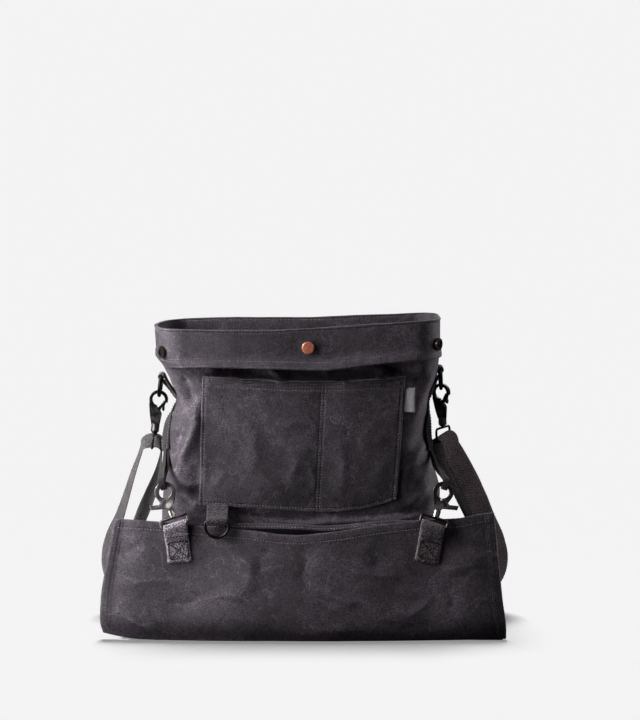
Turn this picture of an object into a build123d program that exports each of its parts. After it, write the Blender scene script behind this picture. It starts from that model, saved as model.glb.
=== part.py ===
"""Harvest bag: a waxed-canvas picking bag with a stiffened open rim, front pockets, a drop-bottom
flap folded up and clipped to the sides, and a webbing carrying strap on swivel snap hooks.

Millimetres, +Z up, +X to the right as seen from the front, -Y is the front of the bag.
The origin is on the ground, under the middle of the bag.
"""

import os
from math import cos, radians, sin, sqrt

from build123d import *

os.makedirs("parts", exist_ok=True)

# ---------------------------------------------------------------- driving dimensions
CANVAS = 2.0  # body canvas with its lining
BODY_X = -4.0  # middle of the upper body
BODY_Y = -4.0  # side seams
RIM_W, RIM_D, RIM_R = 286.0, 108.0, 26.0  # rim band, outside, and its corner radius
RIM_TOP, RIM_H = 319.0, 45.0
RIM_LEAF, RIM_GAP = 1.2, 2.2  # folded band: two leaves with a channel between them
STAY_T, STAY_LOW, STAY_HIGH = 0.8, 302.5, 317.0  # spring-steel hoop in the channel
BODY_TOP = 282.0  # body canvas tucked into the channel

WEB_W, WEB_T = 24.0, 1.6  # carrying strap webbing
TAB_T = 3.0  # two layers of webbing, sewn

FLAP_LEAN = 5.0  # degrees the flap leans back on the bag
FLAP_Y = -82.0  # flap's outer face at the ground
FLAP_H_OUT, FLAP_H_IN = 121.0, 118.5
FLAP_HALF_LOW, FLAP_HALF_HIGH = 203.0, 190.0
DIP, DIP_HALF, DIP_SLOPE = 21.0, 103.0, 5.0  # the mouth's edge sags between the two tabs
FLAP_GAP = 7.0  # chute mouth between the flap's two layers
HINGE_Y, HINGE_Z = -81.0, 1.0  # bottom fold

POCKET_L, POCKET_R, POCKET_DIV = -104.0, 99.5, 19.0
POCKET_LOW, POCKET_HIGH = 131.0, 262.0
POCKET_FRONT, WALL_FRONT = -60.5, -53.0

SNAP_X, SNAP_Z = 4.0, 295.0  # closure snap on the rim's front

TOOL_X, TOOL_Y, TOOL_Z = -87.5, -77.5, 121.5  # bar of the tool ring


def keep(builder, name):
    """Labels a finished piece and writes it."""
    builder.part.label = name
    export_step(builder.part, f"parts/{name}.step")


# ---------------------------------------------------------------- body of the bag
# Each section: height, half width at the front and back corners, front and back y, corner radii,
# and the heading of the side (180 is square to the front; less than that where the side slants).
SECTIONS = [
    # z, front half, back half, y front, y back, r front, r back, side heading
    (2.0, 203.0, 125.0, -69.5, 45.0, 3.0, 20.0, 140.0),
    (126.0, 130.0, 130.0, WALL_FRONT, 47.0, 33.0, 36.0, 180.0),
    (172.0, 137.0, 137.0, WALL_FRONT, 50.0, 34.0, 36.0, 180.0),
    (240.0, 128.5, 128.5, WALL_FRONT, 47.0, 28.0, 30.0, 180.0),
    (266.0, 136.5, 136.5, WALL_FRONT, 47.0, 26.0, 26.0, 180.0),
    (BODY_TOP, 141.6, 141.6, BODY_Y - RIM_D / 2 + 1.35, BODY_Y + RIM_D / 2 - 1.35, 24.6, 24.6, 180.0),
]


def at_height(z):
    """Section numbers at a height, straight between the stations."""
    for a, b in zip(SECTIONS, SECTIONS[1:]):
        if z <= b[0]:
            t = (z - a[0]) / (b[0] - a[0])
            return tuple(p + (q - p) * t for p, q in zip(a, b))
    return SECTIONS[-1]


def outline(section, inset):
    """Closed polygon of the body at one height, set in by inset."""
    z, fw, bw, yf, yb, rf, rb, side = section
    fw, bw, yf, yb = fw - inset, bw - inset, yf + inset, yb - inset
    rf, rb = max(rf - inset, 1.0), max(rb - inset, 1.0)
    shift = BODY_X * min(1.0, max(0.0, (z - 2.0) / 124.0))
    left = []
    for i in range(7):
        a = radians(270.0 + (side - 270.0) * i / 6)
        left.append((-(fw - rf) + rf * cos(a), yf + rf + rf * sin(a)))
    for i in range(7):
        a = radians(side + (90.0 - side) * i / 6)
        left.append((-(bw - rb) + rb * cos(a), yb - rb + rb * sin(a)))
    right = [(-x, y) for x, y in reversed(left)]
    return [(x + shift, y) for x, y in left + right]


def wall_x(z, y, side):
    """x of the body's outer face on its left (-1) or right (+1), at a height and depth."""
    _, fw, bw, yf, yb, rf, rb, _ = at_height(z)
    if y < yf + rf:
        half = fw - rf + sqrt(max(rf**2 - (yf + rf - y) ** 2, 0.0))
    elif y > yb - rb:
        half = bw - rb + sqrt(max(rb**2 - (y - yb + rb) ** 2, 0.0))
    else:
        half = fw
    return BODY_X + side * half


def body_shell():
    """Outer loft less the inner one: the canvas tube, in the active part."""
    for inset, mode in ((0.0, Mode.ADD), (CANVAS, Mode.SUBTRACT)):
        levels = []
        for section in SECTIONS:
            with BuildSketch(Plane.XY.offset(section[0])) as s:
                with BuildLine():
                    Polyline(*outline(section, inset), close=True)
                make_face()
            levels.append(s.sketch)
        loft(levels, ruled=True, mode=mode)


# the front panel: half of the tube, from one side seam to the other
with BuildPart() as front_panel:
    body_shell()
    split(bisect_by=Plane.XZ.offset(-BODY_Y), keep=Keep.TOP)
keep(front_panel, "front_panel")

# the back panel: the other half, and the ground panel that runs forward to the bottom fold
with BuildPart() as back_panel:
    body_shell()
    split(bisect_by=Plane.XZ.offset(-BODY_Y), keep=Keep.BOTTOM)
    with BuildSketch(Plane.XY) as s:
        with BuildLine():
            Polyline(
                (-203, -79), (203, -79), (203, -68), (120.3, 37.9), (105, 45), (-105, 45), (-120.3, 37.9), (-203, -68), close=True
            )
        make_face()
    extrude(s.sketch, amount=2.0)
keep(back_panel, "back_panel")


# ---------------------------------------------------------------- rim band and what it holds
def rim_ring(outer_inset, inner_inset, low, high, mode=Mode.ADD):
    """A wall of the rim's plan between two insets from its outside."""
    with BuildSketch(Plane.XY.offset(low)) as s:
        with Locations((BODY_X, BODY_Y)):
            RectangleRounded(RIM_W - 2 * outer_inset, RIM_D - 2 * outer_inset, RIM_R - outer_inset)
            RectangleRounded(
                RIM_W - 2 * inner_inset, RIM_D - 2 * inner_inset, RIM_R - inner_inset, mode=Mode.SUBTRACT
            )
    extrude(s.sketch, amount=high - low, mode=mode)


RIM_T = 2 * RIM_LEAF + RIM_GAP
RIM_LOW = RIM_TOP - RIM_H

# corner snaps: (x, y, z, heading of the outward normal seen from above)
CORNER_IN_X, CORNER_IN_Y = RIM_W / 2 - RIM_R, RIM_D / 2 - RIM_R


def corner_plane(side, end, turn, z):
    """Plane on the rim band's outside at a corner: side -1 left or +1 right, end -1 front or +1 back."""
    n = (side * sin(radians(turn)), end * cos(radians(turn)), 0.0)
    c = (BODY_X + side * CORNER_IN_X, BODY_Y + end * CORNER_IN_Y)
    return Plane(origin=(c[0] + RIM_R * n[0], c[1] + RIM_R * n[1], z), x_dir=(0, 0, 1), z_dir=n)


CORNER_FRONT = [corner_plane(-1, -1, 58.0, 289.5), corner_plane(1, -1, 58.0, 297.5)]
CORNER_BACK = [corner_plane(-1, 1, 58.0, 290.5), corner_plane(1, 1, 58.0, 296.5)]
SHANK_R, SHANK_HOLE = 1.9, 2.1


def band_half(front):
    """Folded band from seam to seam, with its channel and the holes for its snaps."""
    rim_ring(0.0, RIM_T, RIM_LOW, RIM_TOP)
    rim_ring(RIM_LEAF, RIM_LEAF + RIM_GAP, RIM_LOW, RIM_TOP - RIM_LEAF, Mode.SUBTRACT)
    split(bisect_by=Plane.XZ.offset(-BODY_Y), keep=Keep.TOP if front else Keep.BOTTOM)
    end = -1 if front else 1
    with BuildSketch(Plane.XZ.offset(-(BODY_Y + end * (RIM_D / 2 + 2)))) as s:
        with Locations((SNAP_X, SNAP_Z)):
            Circle(SHANK_HOLE)
    extrude(s.sketch, amount=end * 12.0, mode=Mode.SUBTRACT)
    for spot in CORNER_FRONT if front else CORNER_BACK:
        with BuildSketch(spot.offset(2.0)) as s:
            Circle(SHANK_HOLE)
        extrude(s.sketch, amount=-9.0, mode=Mode.SUBTRACT)


with BuildPart() as rim_band_front:
    band_half(True)
keep(rim_band_front, "rim_band_front")

with BuildPart() as rim_band_back:
    band_half(False)
keep(rim_band_back, "rim_band_back")

# the flat hoop in the band's channel that keeps the mouth open
with BuildPart() as rim_stay:
    mid = RIM_LEAF + RIM_GAP / 2
    rim_ring(mid - STAY_T / 2, mid + STAY_T / 2, STAY_LOW, STAY_HIGH)
keep(rim_stay, "rim_stay")


# ---------------------------------------------------------------- snaps on the rim
def disc(plane, low, high, radius, mode=Mode.ADD):
    """A round step along a plane's normal."""
    with BuildSketch(plane.offset(low)) as s:
        Circle(radius)
    extrude(s.sketch, amount=high - low, mode=mode)


FRONT_FACE = Plane(origin=(SNAP_X, BODY_Y - RIM_D / 2, SNAP_Z), x_dir=(1, 0, 0), z_dir=(0, -1, 0))
BACK_FACE = Plane(origin=(SNAP_X, BODY_Y + RIM_D / 2, SNAP_Z), x_dir=(-1, 0, 0), z_dir=(0, 1, 0))

# copper cap outside the front, with the shank that goes through the band
with BuildPart() as closure_cap:
    disc(FRONT_FACE, 0.15, 2.0, 6.3)
    fillet(closure_cap.edges().filter_by(GeomType.CIRCLE).group_by(Axis.Y)[0], 1.2)
    disc(FRONT_FACE, -RIM_T - 0.9, 0.4, SHANK_R)
keep(closure_cap, "closure_snap_cap")

# socket inside the front, a ring on the shank
with BuildPart() as closure_socket:
    disc(FRONT_FACE, -RIM_T - 3.2, -RIM_T - 0.15, 6.0)
    disc(FRONT_FACE, -RIM_T - 4.0, -RIM_T - 1.1, 3.4, Mode.SUBTRACT)
    disc(FRONT_FACE, -RIM_T - 2.0, 1.0, SHANK_R + 0.05, Mode.SUBTRACT)
    fillet(closure_socket.edges().filter_by(GeomType.CIRCLE).group_by(Axis.Y)[-1], 0.6)
keep(closure_socket, "closure_snap_socket")

# copper cap outside the back
with BuildPart() as closure_post:
    disc(BACK_FACE, 0.15, 2.0, 6.3)
    fillet(closure_post.edges().filter_by(GeomType.CIRCLE).group_by(Axis.Y)[-1], 1.2)
    disc(BACK_FACE, -RIM_T - 0.9, 0.4, SHANK_R)
keep(closure_post, "closure_snap_back_cap")

# stud inside the back
with BuildPart() as closure_stud:
    disc(BACK_FACE, -RIM_T - 1.3, -RIM_T - 0.15, 6.0)
    disc(BACK_FACE, -RIM_T - 4.4, -RIM_T - 1.2, 3.1)
    disc(BACK_FACE, -RIM_T - 2.2, 1.0, SHANK_R + 0.05, Mode.SUBTRACT)
    fillet(closure_stud.edges().filter_by(GeomType.CIRCLE).group_by(Axis.Y)[0], 0.8)
keep(closure_stud, "closure_snap_stud")

# sockets at the two front corners, facing outwards; a flat foot bears on the curve of the band
with BuildPart() as corner_sockets:
    for spot in CORNER_FRONT:
        disc(spot, 0.15, 2.1, 6.2)
        disc(spot, 1.1, 4.0, 3.8, Mode.SUBTRACT)
        disc(spot, -RIM_T - 1.7, 1.2, SHANK_R)
keep(corner_sockets, "corner_snap_sockets")

# studs at the two back corners, which the sockets press onto to fold the sides in
with BuildPart() as corner_studs:
    for spot in CORNER_BACK:
        disc(spot, 0.15, 1.2, 6.2)
        disc(spot, 1.1, 3.6, 3.4)
        disc(spot, -RIM_T - 1.7, 1.1, SHANK_R)
keep(corner_studs, "corner_snap_studs")

# washers inside the band that the corner snaps are set onto
with BuildPart() as corner_washers:
    for spot in CORNER_FRONT + CORNER_BACK:
        disc(spot, -RIM_T - 2.8, -RIM_T - 0.95, 5.6)
        disc(spot, -RIM_T - 1.8, 1.0, SHANK_R + 0.05, Mode.SUBTRACT)
    split(bisect_by=Plane.XY.offset(0), keep=Keep.TOP)
keep(corner_washers, "corner_snap_washers")

# ---------------------------------------------------------------- front pockets
# one patch sewn on three sides, with a seam that parts it in two
with BuildPart() as pocket:
    with BuildSketch(Plane.XZ.offset(-WALL_FRONT + 0.2)) as s:
        with BuildLine():
            Polyline(
                (POCKET_L, POCKET_LOW), (POCKET_R, POCKET_LOW), (POCKET_R, POCKET_HIGH), (POCKET_L, POCKET_HIGH), close=True
            )
        make_face()
    extrude(s.sketch, amount=WALL_FRONT - POCKET_FRONT - 0.2)
    with BuildSketch(Plane.XZ.offset(-WALL_FRONT + 0.2)) as s:
        for low, high in ((POCKET_L + 1.5, POCKET_DIV - 0.75), (POCKET_DIV + 0.75, POCKET_R - 1.5)):
            with Locations(((low + high) / 2, (POCKET_LOW + 1.5 + POCKET_HIGH + 5) / 2)):
                Rectangle(high - low, POCKET_HIGH + 5 - POCKET_LOW - 1.5)
    extrude(s.sketch, amount=WALL_FRONT - POCKET_FRONT - 0.2 - 1.4, mode=Mode.SUBTRACT)
keep(pocket, "pocket_panel")

# woven tag in the pocket's side seam
with BuildPart() as side_tag:
    with BuildSketch(Plane.XZ.offset(57.0)) as s:
        with Locations((POCKET_R + 0.15 + 6.0, 242.0)):
            Rectangle(12.0, 24.0)
    extrude(s.sketch, amount=0.8)
keep(side_tag, "woven_tag")

# ---------------------------------------------------------------- drop-bottom flap
FLAP = Plane(
    origin=(0, FLAP_Y, 0),
    x_dir=(1, 0, 0),
    z_dir=(0, -cos(radians(FLAP_LEAN)), sin(radians(FLAP_LEAN))),
)


def flap_half(u):
    """Half width of the flap at a height along it."""
    return FLAP_HALF_LOW + (FLAP_HALF_HIGH - FLAP_HALF_LOW) * u / FLAP_H_OUT


def flap_edge(top):
    """Upper edge of a flap layer, right to left, with the sag in its middle."""
    right = [(flap_half(top), top), (DIP_HALF + DIP_SLOPE, top), (DIP_HALF, top - DIP)]
    return right + [(-x, u) for x, u in reversed(right)]


# outer layer, which carries on from the ground panel
with BuildPart() as flap_outer:
    with BuildSketch(FLAP.offset(-CANVAS)) as s:
        with BuildLine():
            Polyline(
                (-flap_half(0.4), 0.4),
                (flap_half(0.4), 0.4),
                *flap_edge(FLAP_H_OUT),
                close=True,
            )
        make_face()
    extrude(s.sketch, amount=CANVAS)
keep(flap_outer, "flap_outer_panel")

# inner layer, which carries on from the front panel, with the side folds that close the chute
IN_BACK = -(2 * CANVAS + FLAP_GAP)
with BuildPart() as flap_inner:
    with BuildSketch(FLAP.offset(IN_BACK)) as s:
        with BuildLine():
            Polyline(
                (-flap_half(3.6), 3.6),
                (flap_half(3.6), 3.6),
                *flap_edge(FLAP_H_IN),
                close=True,
            )
        make_face()
    extrude(s.sketch, amount=FLAP_GAP + CANVAS - 0.2)
    with BuildSketch(FLAP.offset(IN_BACK + CANVAS)) as s:
        with BuildLine():
            Polyline(
                (-flap_half(0) + 2.0, -2.0),
                (flap_half(0) - 2.0, -2.0),
                (flap_half(FLAP_H_IN + 4) - 2.0, FLAP_H_IN + 4),
                (-flap_half(FLAP_H_IN + 4) + 2.0, FLAP_H_IN + 4),
                close=True,
            )
        make_face()
    extrude(s.sketch, amount=FLAP_GAP + 1.0, mode=Mode.SUBTRACT)
keep(flap_inner, "flap_inner_panel")

# ---------------------------------------------------------------- snap hooks
EYE_WIRE = 1.2  # radius of the strap hooks' eye wire
FLAP_EYE_WIRE = 1.5  # radius of the flap hooks' eye wire
EYE_IN = WEB_W + 0.6


def axis_plane(hook, along):
    """Plane square to a hook's long axis, at a distance along it from the middle of its claw."""
    return Plane(origin=hook.from_local_coords((0, along, 0)), x_dir=hook.x_dir, z_dir=hook.y_dir)


def along_step(hook, low, high, radius, mode=Mode.ADD):
    """A round step along a hook's long axis."""
    with BuildSketch(axis_plane(hook, low)) as s:
        Circle(radius)
    extrude(s.sketch, amount=high - low, mode=mode)


def wire_loop(plane, half_w, low, high, corner, radius):
    """A closed rounded-rectangle loop of round wire, in a plane."""
    with BuildLine(plane) as path:
        FilletPolyline((half_w, low), (half_w, high), (-half_w, high), (-half_w, low), close=True, radius=corner)
    ring = path.wires()[0]
    with BuildSketch(Plane(origin=ring @ 0, z_dir=ring % 0)) as s:
        Circle(radius)
    sweep(s.sketch, path=ring)


# --- strap hooks: a fixed claw with a thumb gate that opens inwards
UP_PIVOT = (-2.4, -16.0)
UP_ARM = 58.8  # degrees
UP_T = 5.0
UP_REACH = 17.3  # from the gate's rivet to its tip


def arm_spot(along, across):
    """A point in a strap hook's plan, along its gate's arm from the rivet and across it."""
    ux, uy = cos(radians(UP_ARM)), sin(radians(UP_ARM))
    return (UP_PIVOT[0] + along * ux + across * uy, UP_PIVOT[1] + along * uy - across * ux)


def strap_hook_body(hook):
    with BuildSketch(hook.offset(-UP_T / 2)) as s:
        Circle(9.6)
        Circle(6.4, mode=Mode.SUBTRACT)
        # mouth, cut square to the gate so that the closed gate meets the claw's tip
        with BuildLine():
            Polyline(arm_spot(UP_REACH + 0.3, -3.4), arm_spot(UP_REACH + 0.3, 9.0), arm_spot(4.0, 9.0), arm_spot(4.0, -3.4), close=True)
        make_face(mode=Mode.SUBTRACT)
        with BuildLine():
            Polyline(
                (-8.9, 1.0), (-9.1, -6.0), (-7.0, -17.0), (-4.4, -26.5), (4.0, -26.5), (4.6, -20.5), (5.0, -14.8), (3.2, -11.2),
                (-0.6, -7.6), (-4.5, -6.0), (-7.0, -2.5), (-7.2, 1.0), close=True,
            )
        make_face()
    extrude(s.sketch, amount=UP_T)
    fillet(hook_edges(hook, UP_T / 2), 0.7)
    # slot for the gate's hub and arm
    with BuildSketch(hook.offset(-1.3)) as s:
        with Locations(UP_PIVOT):
            Circle(4.1)
        reach = 11.2
        with BuildLine():
            a = [radians(x) for x in (-14.0, 20.0, 50.0, 80.0, 112.0)]
            Polyline(
                UP_PIVOT, *[(UP_PIVOT[0] + reach * cos(x), UP_PIVOT[1] + reach * sin(x)) for x in a], close=True
            )
        make_face()
    extrude(s.sketch, amount=2.6, mode=Mode.SUBTRACT)
    # swivel barrel with the cavity for the eye's head
    along_step(hook, -33.5, -25.0, 4.2)
    along_step(hook, -31.0, -27.6, 2.9, Mode.SUBTRACT)
    along_step(hook, -34.0, -30.0, 1.75, Mode.SUBTRACT)
    # rivet hole
    with BuildSketch(hook.offset(-4)) as s:
        with Locations(UP_PIVOT):
            Circle(1.35)
    extrude(s.sketch, amount=8, mode=Mode.SUBTRACT)


def hook_edges(hook, half):
    """Edges of the active part that lie on the two flat sides of a hook."""
    part = BuildPart._get_context().part
    found = []
    for e in part.edges():
        d = [hook.to_local_coords(e.position_at(t)).Z for t in (0.0, 0.5, 1.0)]
        if all(abs(abs(x) - half) < 1e-4 for x in d):
            found.append(e)
    return found


def strap_hook_gate(hook):
    # outer arm with the thumb knob
    with BuildSketch(hook.offset(-2.2)) as s:
        with BuildLine():
            Polyline(
                arm_spot(11.0, -1.3), arm_spot(UP_REACH, -1.5), arm_spot(UP_REACH, 1.9), arm_spot(13.4, 2.6), arm_spot(10.8, 4.9),
                arm_spot(8.4, 5.4), arm_spot(8.6, 2.9), arm_spot(11.0, 1.6), close=True,
            )
        make_face()
    extrude(s.sketch, amount=4.4)
    fillet(hook_edges(hook, 2.2), 0.7)
    # thin arm and hub in the slot
    with BuildSketch(hook.offset(-1.1)) as s:
        with Locations(UP_PIVOT):
            Circle(3.6)
        with BuildLine():
            Polyline(arm_spot(0, -2.4), arm_spot(12.4, -1.1), arm_spot(12.4, 1.5), arm_spot(0, 2.6), close=True)
        make_face()
    extrude(s.sketch, amount=2.2)
    with BuildSketch(hook.offset(-0.3)) as s:
        with Locations(UP_PIVOT):
            Circle(2.9)
    extrude(s.sketch, amount=2.0, mode=Mode.SUBTRACT)
    with BuildSketch(hook.offset(-2)) as s:
        with Locations(UP_PIVOT):
            Circle(1.35)
    extrude(s.sketch, amount=4, mode=Mode.SUBTRACT)


def rivet(hook, pivot, radius, half, head):
    with BuildSketch(hook.offset(-half - 0.7)) as s:
        with Locations(pivot):
            Circle(radius)
    extrude(s.sketch, amount=2 * half + 1.4)
    for low in (-half - 0.85, half + 0.05):
        with BuildSketch(hook.offset(low)) as s:
            with Locations(pivot):
                Circle(head)
        extrude(s.sketch, amount=0.8)


def coil_spring(hook, pivot, mean, wire, pitch, low, turns):
    """Torsion spring round the rivet."""
    start = hook.from_local_coords((pivot[0], pivot[1], low))
    with BuildLine() as path:
        Helix(pitch=pitch, height=pitch * turns, radius=mean, center=start, direction=hook.z_dir)
    line = path.wires()[0]
    with BuildSketch(Plane(origin=line @ 0, z_dir=line % 0)) as s:
        Circle(wire)
    sweep(s.sketch, path=line, is_frenet=True)


def strap_hook_eye(hook, eye):
    along_step(hook, -30.8, -27.9, 2.6)
    along_step(hook, -36.4, -30.0, 1.7)
    along_step(hook, -34.9, -33.75, 3.2)
    wire_loop(eye, EYE_IN / 2 + 1.5 + EYE_WIRE, -49.6, -36.4, 3.4, EYE_WIRE)


# --- flap hooks: two jaws, one of them a lever gate that opens outwards
LOW_PIVOT = (0.0, -14.0)
LOW_T = 5.0
RING_OUT, RING_IN = 10.6, 6.2


def half_ring(m, lever=False):
    """One jaw's plan, m +1 on the right and -1 on the left, with its thumb lever if it has one."""

    def on(radius, angle):
        return (m * radius * cos(radians(angle)), radius * sin(radians(angle)))

    tip, outer_end, inner_end = 88.4, -20.0, -86.0
    foot = [(7.9, -9.2), (5.0, -14.0), (0.3, -14.0)]
    if lever:
        foot = [(8.0, -9.0), (9.8, -10.5), (19.2, -8.6), (18.7, -13.1), (6.0, -15.8), (2.6, -16.4), (0.3, -14.0)]
    with BuildLine() as jaw_line:
        ThreePointArc(on(RING_OUT, tip), on(RING_OUT, (tip + outer_end) / 2), on(RING_OUT, outer_end))
        Polyline(on(RING_OUT, outer_end), *[(m * x, y) for x, y in foot], on(RING_IN, inner_end))
        ThreePointArc(on(RING_IN, inner_end), on(RING_IN, (tip + inner_end) / 2), on(RING_IN, tip))
        Line(on(RING_IN, tip), on(RING_OUT, tip))
    make_face(jaw_line.edges())


def lap(hook, low, high):
    """Clears one half of the hub for the other jaw."""
    with BuildSketch(hook.offset(low)) as s:
        with Locations(LOW_PIVOT):
            Circle(5.35)
    extrude(s.sketch, amount=high - low, mode=Mode.SUBTRACT)


def hub(hook, low, high):
    with BuildSketch(hook.offset(low)) as s:
        with Locations(LOW_PIVOT):
            Circle(5.0)
    extrude(s.sketch, amount=high - low)
    with BuildSketch(hook.offset(-1.2)) as s:
        with Locations(LOW_PIVOT):
            Circle(3.2)
    extrude(s.sketch, amount=2.4, mode=Mode.SUBTRACT)
    with BuildSketch(hook.offset(-4)) as s:
        with Locations(LOW_PIVOT):
            Circle(1.55)
    extrude(s.sketch, amount=8, mode=Mode.SUBTRACT)


def flap_hook_body(hook, m):
    with BuildSketch(hook.offset(-LOW_T / 2)) as s:
        half_ring(m)
        with BuildLine():
            Polyline((-3.1, -15.0), (3.1, -15.0), (3.1, -21.0), (-3.1, -21.0), close=True)
        make_face()
    extrude(s.sketch, amount=LOW_T)
    fillet(hook_edges(hook, LOW_T / 2), 0.8)
    lap(hook, -2.6, 0.1)
    hub(hook, 0.1, 2.5)
    along_step(hook, -25.0, -19.5, 3.7)
    along_step(hook, -23.2, -20.7, 2.5, Mode.SUBTRACT)
    along_step(hook, -26.0, -22.0, 1.55, Mode.SUBTRACT)


def flap_hook_gate(hook, m):
    with BuildSketch(hook.offset(-LOW_T / 2)) as s:
        half_ring(-m, lever=True)
    extrude(s.sketch, amount=LOW_T)
    fillet(hook_edges(hook, LOW_T / 2), 0.8)
    lap(hook, -0.1, 2.6)
    hub(hook, -2.5, -0.1)


def flap_hook_eye(hook):
    along_step(hook, -23.0, -20.95, 2.3)
    along_step(hook, -27.0, -22.5, 1.5)
    along_step(hook, -26.3, -25.25, 2.8)
    wire_loop(hook, EYE_IN / 2 + FLAP_EYE_WIRE, -35.0, -27.0, 2.6, FLAP_EYE_WIRE)


# --- where the strap hooks hang: a D-ring's bar in the folded end of a side tab
D_WIRE, D_HALF, D_DROP = 1.8, 14.6, 20.3


def strap_station(side, bar, lean, twist, turn):
    """Planes for one side: the D-ring, the hook hanging in it, and its eye, turned on the swivel."""
    down = Vector(side * sin(radians(lean)), 0, -cos(radians(lean)))
    up = down * -1
    out = Vector(cos(radians(lean)), 0, side * sin(radians(lean)))
    ring = Plane(origin=bar, x_dir=(0, 1, 0), z_dir=Vector(0, 1, 0).cross(up))
    claw = Vector(*bar) + down * (D_DROP + 6.4 - D_WIRE - 0.3)
    flat_hook = Plane(origin=claw, x_dir=out, z_dir=out.cross(up))
    hook = Plane(origin=claw, x_dir=out * cos(radians(twist)) + flat_hook.z_dir * sin(radians(twist)), z_dir=flat_hook.z_dir * cos(radians(twist)) - out * sin(radians(twist)))
    bar_dir = Vector(0, 1, 0) * cos(radians(turn)) + up.cross(Vector(0, 1, 0)) * sin(radians(turn))
    eye = Plane(origin=claw, x_dir=bar_dir, z_dir=bar_dir.cross(up))
    return ring, hook, eye


UP_LEFT = strap_station(-1, (-147.0, BODY_Y, 260.6), 7.5, 0.0, 0.0)
UP_RIGHT = strap_station(1, (139.5, BODY_Y, 268.0), 3.0, 24.0, -30.0)
TAB_DROP = {-1: 21.0, 1: 16.5}  # length of each side tab down the wall


def d_ring(plane, half, legs, radius, corner):
    """A D-ring: bar along the plane's x through its origin, bow hanging along -y."""
    with BuildLine(plane) as path:
        bar = Line((-half + corner, 0), (half - corner, 0))
        c1 = JernArc(start=bar @ 1, tangent=bar % 1, radius=corner, arc_size=-90)
        l1 = Line(c1 @ 1, (c1 @ 1) + (c1 % 1) * (legs - corner))
        bow = JernArc(start=l1 @ 1, tangent=l1 % 1, radius=half, arc_size=-180)
        l2 = Line(bow @ 1, (bow @ 1) + (bow % 1) * (legs - corner))
        JernArc(start=l2 @ 1, tangent=l2 % 1, radius=corner, arc_size=-90)
    ring = path.wires()[0]
    with BuildSketch(Plane(origin=ring @ 0, z_dir=ring % 0)) as s:
        Circle(radius)
    sweep(s.sketch, path=ring)


# each piece of a hook is drawn once on the ground plane and then set where it hangs
FLAT = Plane.XY
with BuildPart() as strap_body_plain:
    strap_hook_body(FLAT)
with BuildPart() as strap_gate_plain:
    strap_hook_gate(FLAT)
with BuildPart() as strap_rivet_plain:
    rivet(FLAT, UP_PIVOT, 1.3, UP_T / 2, 2.3)
with BuildPart() as strap_spring_plain:
    coil_spring(FLAT, UP_PIVOT, 2.1, 0.25, 0.55, 0.05, 1.4)
with BuildPart() as strap_d_ring_plain:
    d_ring(FLAT, D_HALF, D_DROP - D_HALF, D_WIRE, 3.0)
with BuildPart() as strap_eye_plain:
    strap_hook_eye(FLAT, FLAT)

for side_name, station in (("left", UP_LEFT), ("right", UP_RIGHT)):
    ring_plane, hook_plane, eye_plane = station
    with BuildPart() as strap_d_ring:
        with Locations(ring_plane.location):
            add(strap_d_ring_plain.part)
    keep(strap_d_ring, f"strap_d_ring_{side_name}")
    with BuildPart() as body:
        with Locations(hook_plane.location):
            add(strap_body_plain.part)
    keep(body, f"strap_hook_body_{side_name}")
    with BuildPart() as gate:
        with Locations(hook_plane.location):
            add(strap_gate_plain.part)
    keep(gate, f"strap_hook_gate_{side_name}")
    with BuildPart() as pin:
        with Locations(hook_plane.location):
            add(strap_rivet_plain.part)
    keep(pin, f"strap_hook_rivet_{side_name}")
    with BuildPart() as spring:
        with Locations(hook_plane.location):
            add(strap_spring_plain.part)
    keep(spring, f"strap_hook_spring_{side_name}")
    with BuildPart() as swivel_eye:
        with Locations(eye_plane.location):
            add(strap_eye_plain.part)
    keep(swivel_eye, f"strap_hook_eye_{side_name}")

# --- where the flap hooks stand: on tabs sewn to the flap, leaning out and back to the side loops
HOOK_LEAN = 17.5
EYE_BAR_N = TAB_T / 2 + 2.2  # bar off the flap's face
EYE_X, EYE_U = 129.5, 117.5


def flap_station(side):
    """Plane of one flap hook, whose eye's bar lies along the flap's face."""
    bar = FLAP.from_local_coords((side * EYE_X, EYE_U, EYE_BAR_N))
    up = Vector(side * sin(radians(HOOK_LEAN)), sin(radians(13.5)), cos(radians(HOOK_LEAN)) * cos(radians(13.5))).normalized()
    out = up.cross(FLAP.z_dir).normalized()
    return Plane(origin=bar + up * 35.0, x_dir=out, z_dir=out.cross(up))


LOW_LEFT, LOW_RIGHT = flap_station(-1), flap_station(1)

# the fixed jaw is on the bag's side and the lever points outwards, so the two hooks are a pair
flap_body_plain, flap_gate_plain = {}, {}
for jaw in (1, -1):
    with BuildPart() as plain:
        flap_hook_body(FLAT, jaw)
    flap_body_plain[jaw] = plain.part
    with BuildPart() as plain:
        flap_hook_gate(FLAT, jaw)
    flap_gate_plain[jaw] = plain.part
with BuildPart() as flap_rivet_plain:
    rivet(FLAT, LOW_PIVOT, 1.5, LOW_T / 2, 2.6)
with BuildPart() as flap_spring_plain:
    coil_spring(FLAT, LOW_PIVOT, 2.3, 0.25, 0.6, -0.75, 2.5)
with BuildPart() as flap_eye_plain:
    flap_hook_eye(FLAT)

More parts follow.
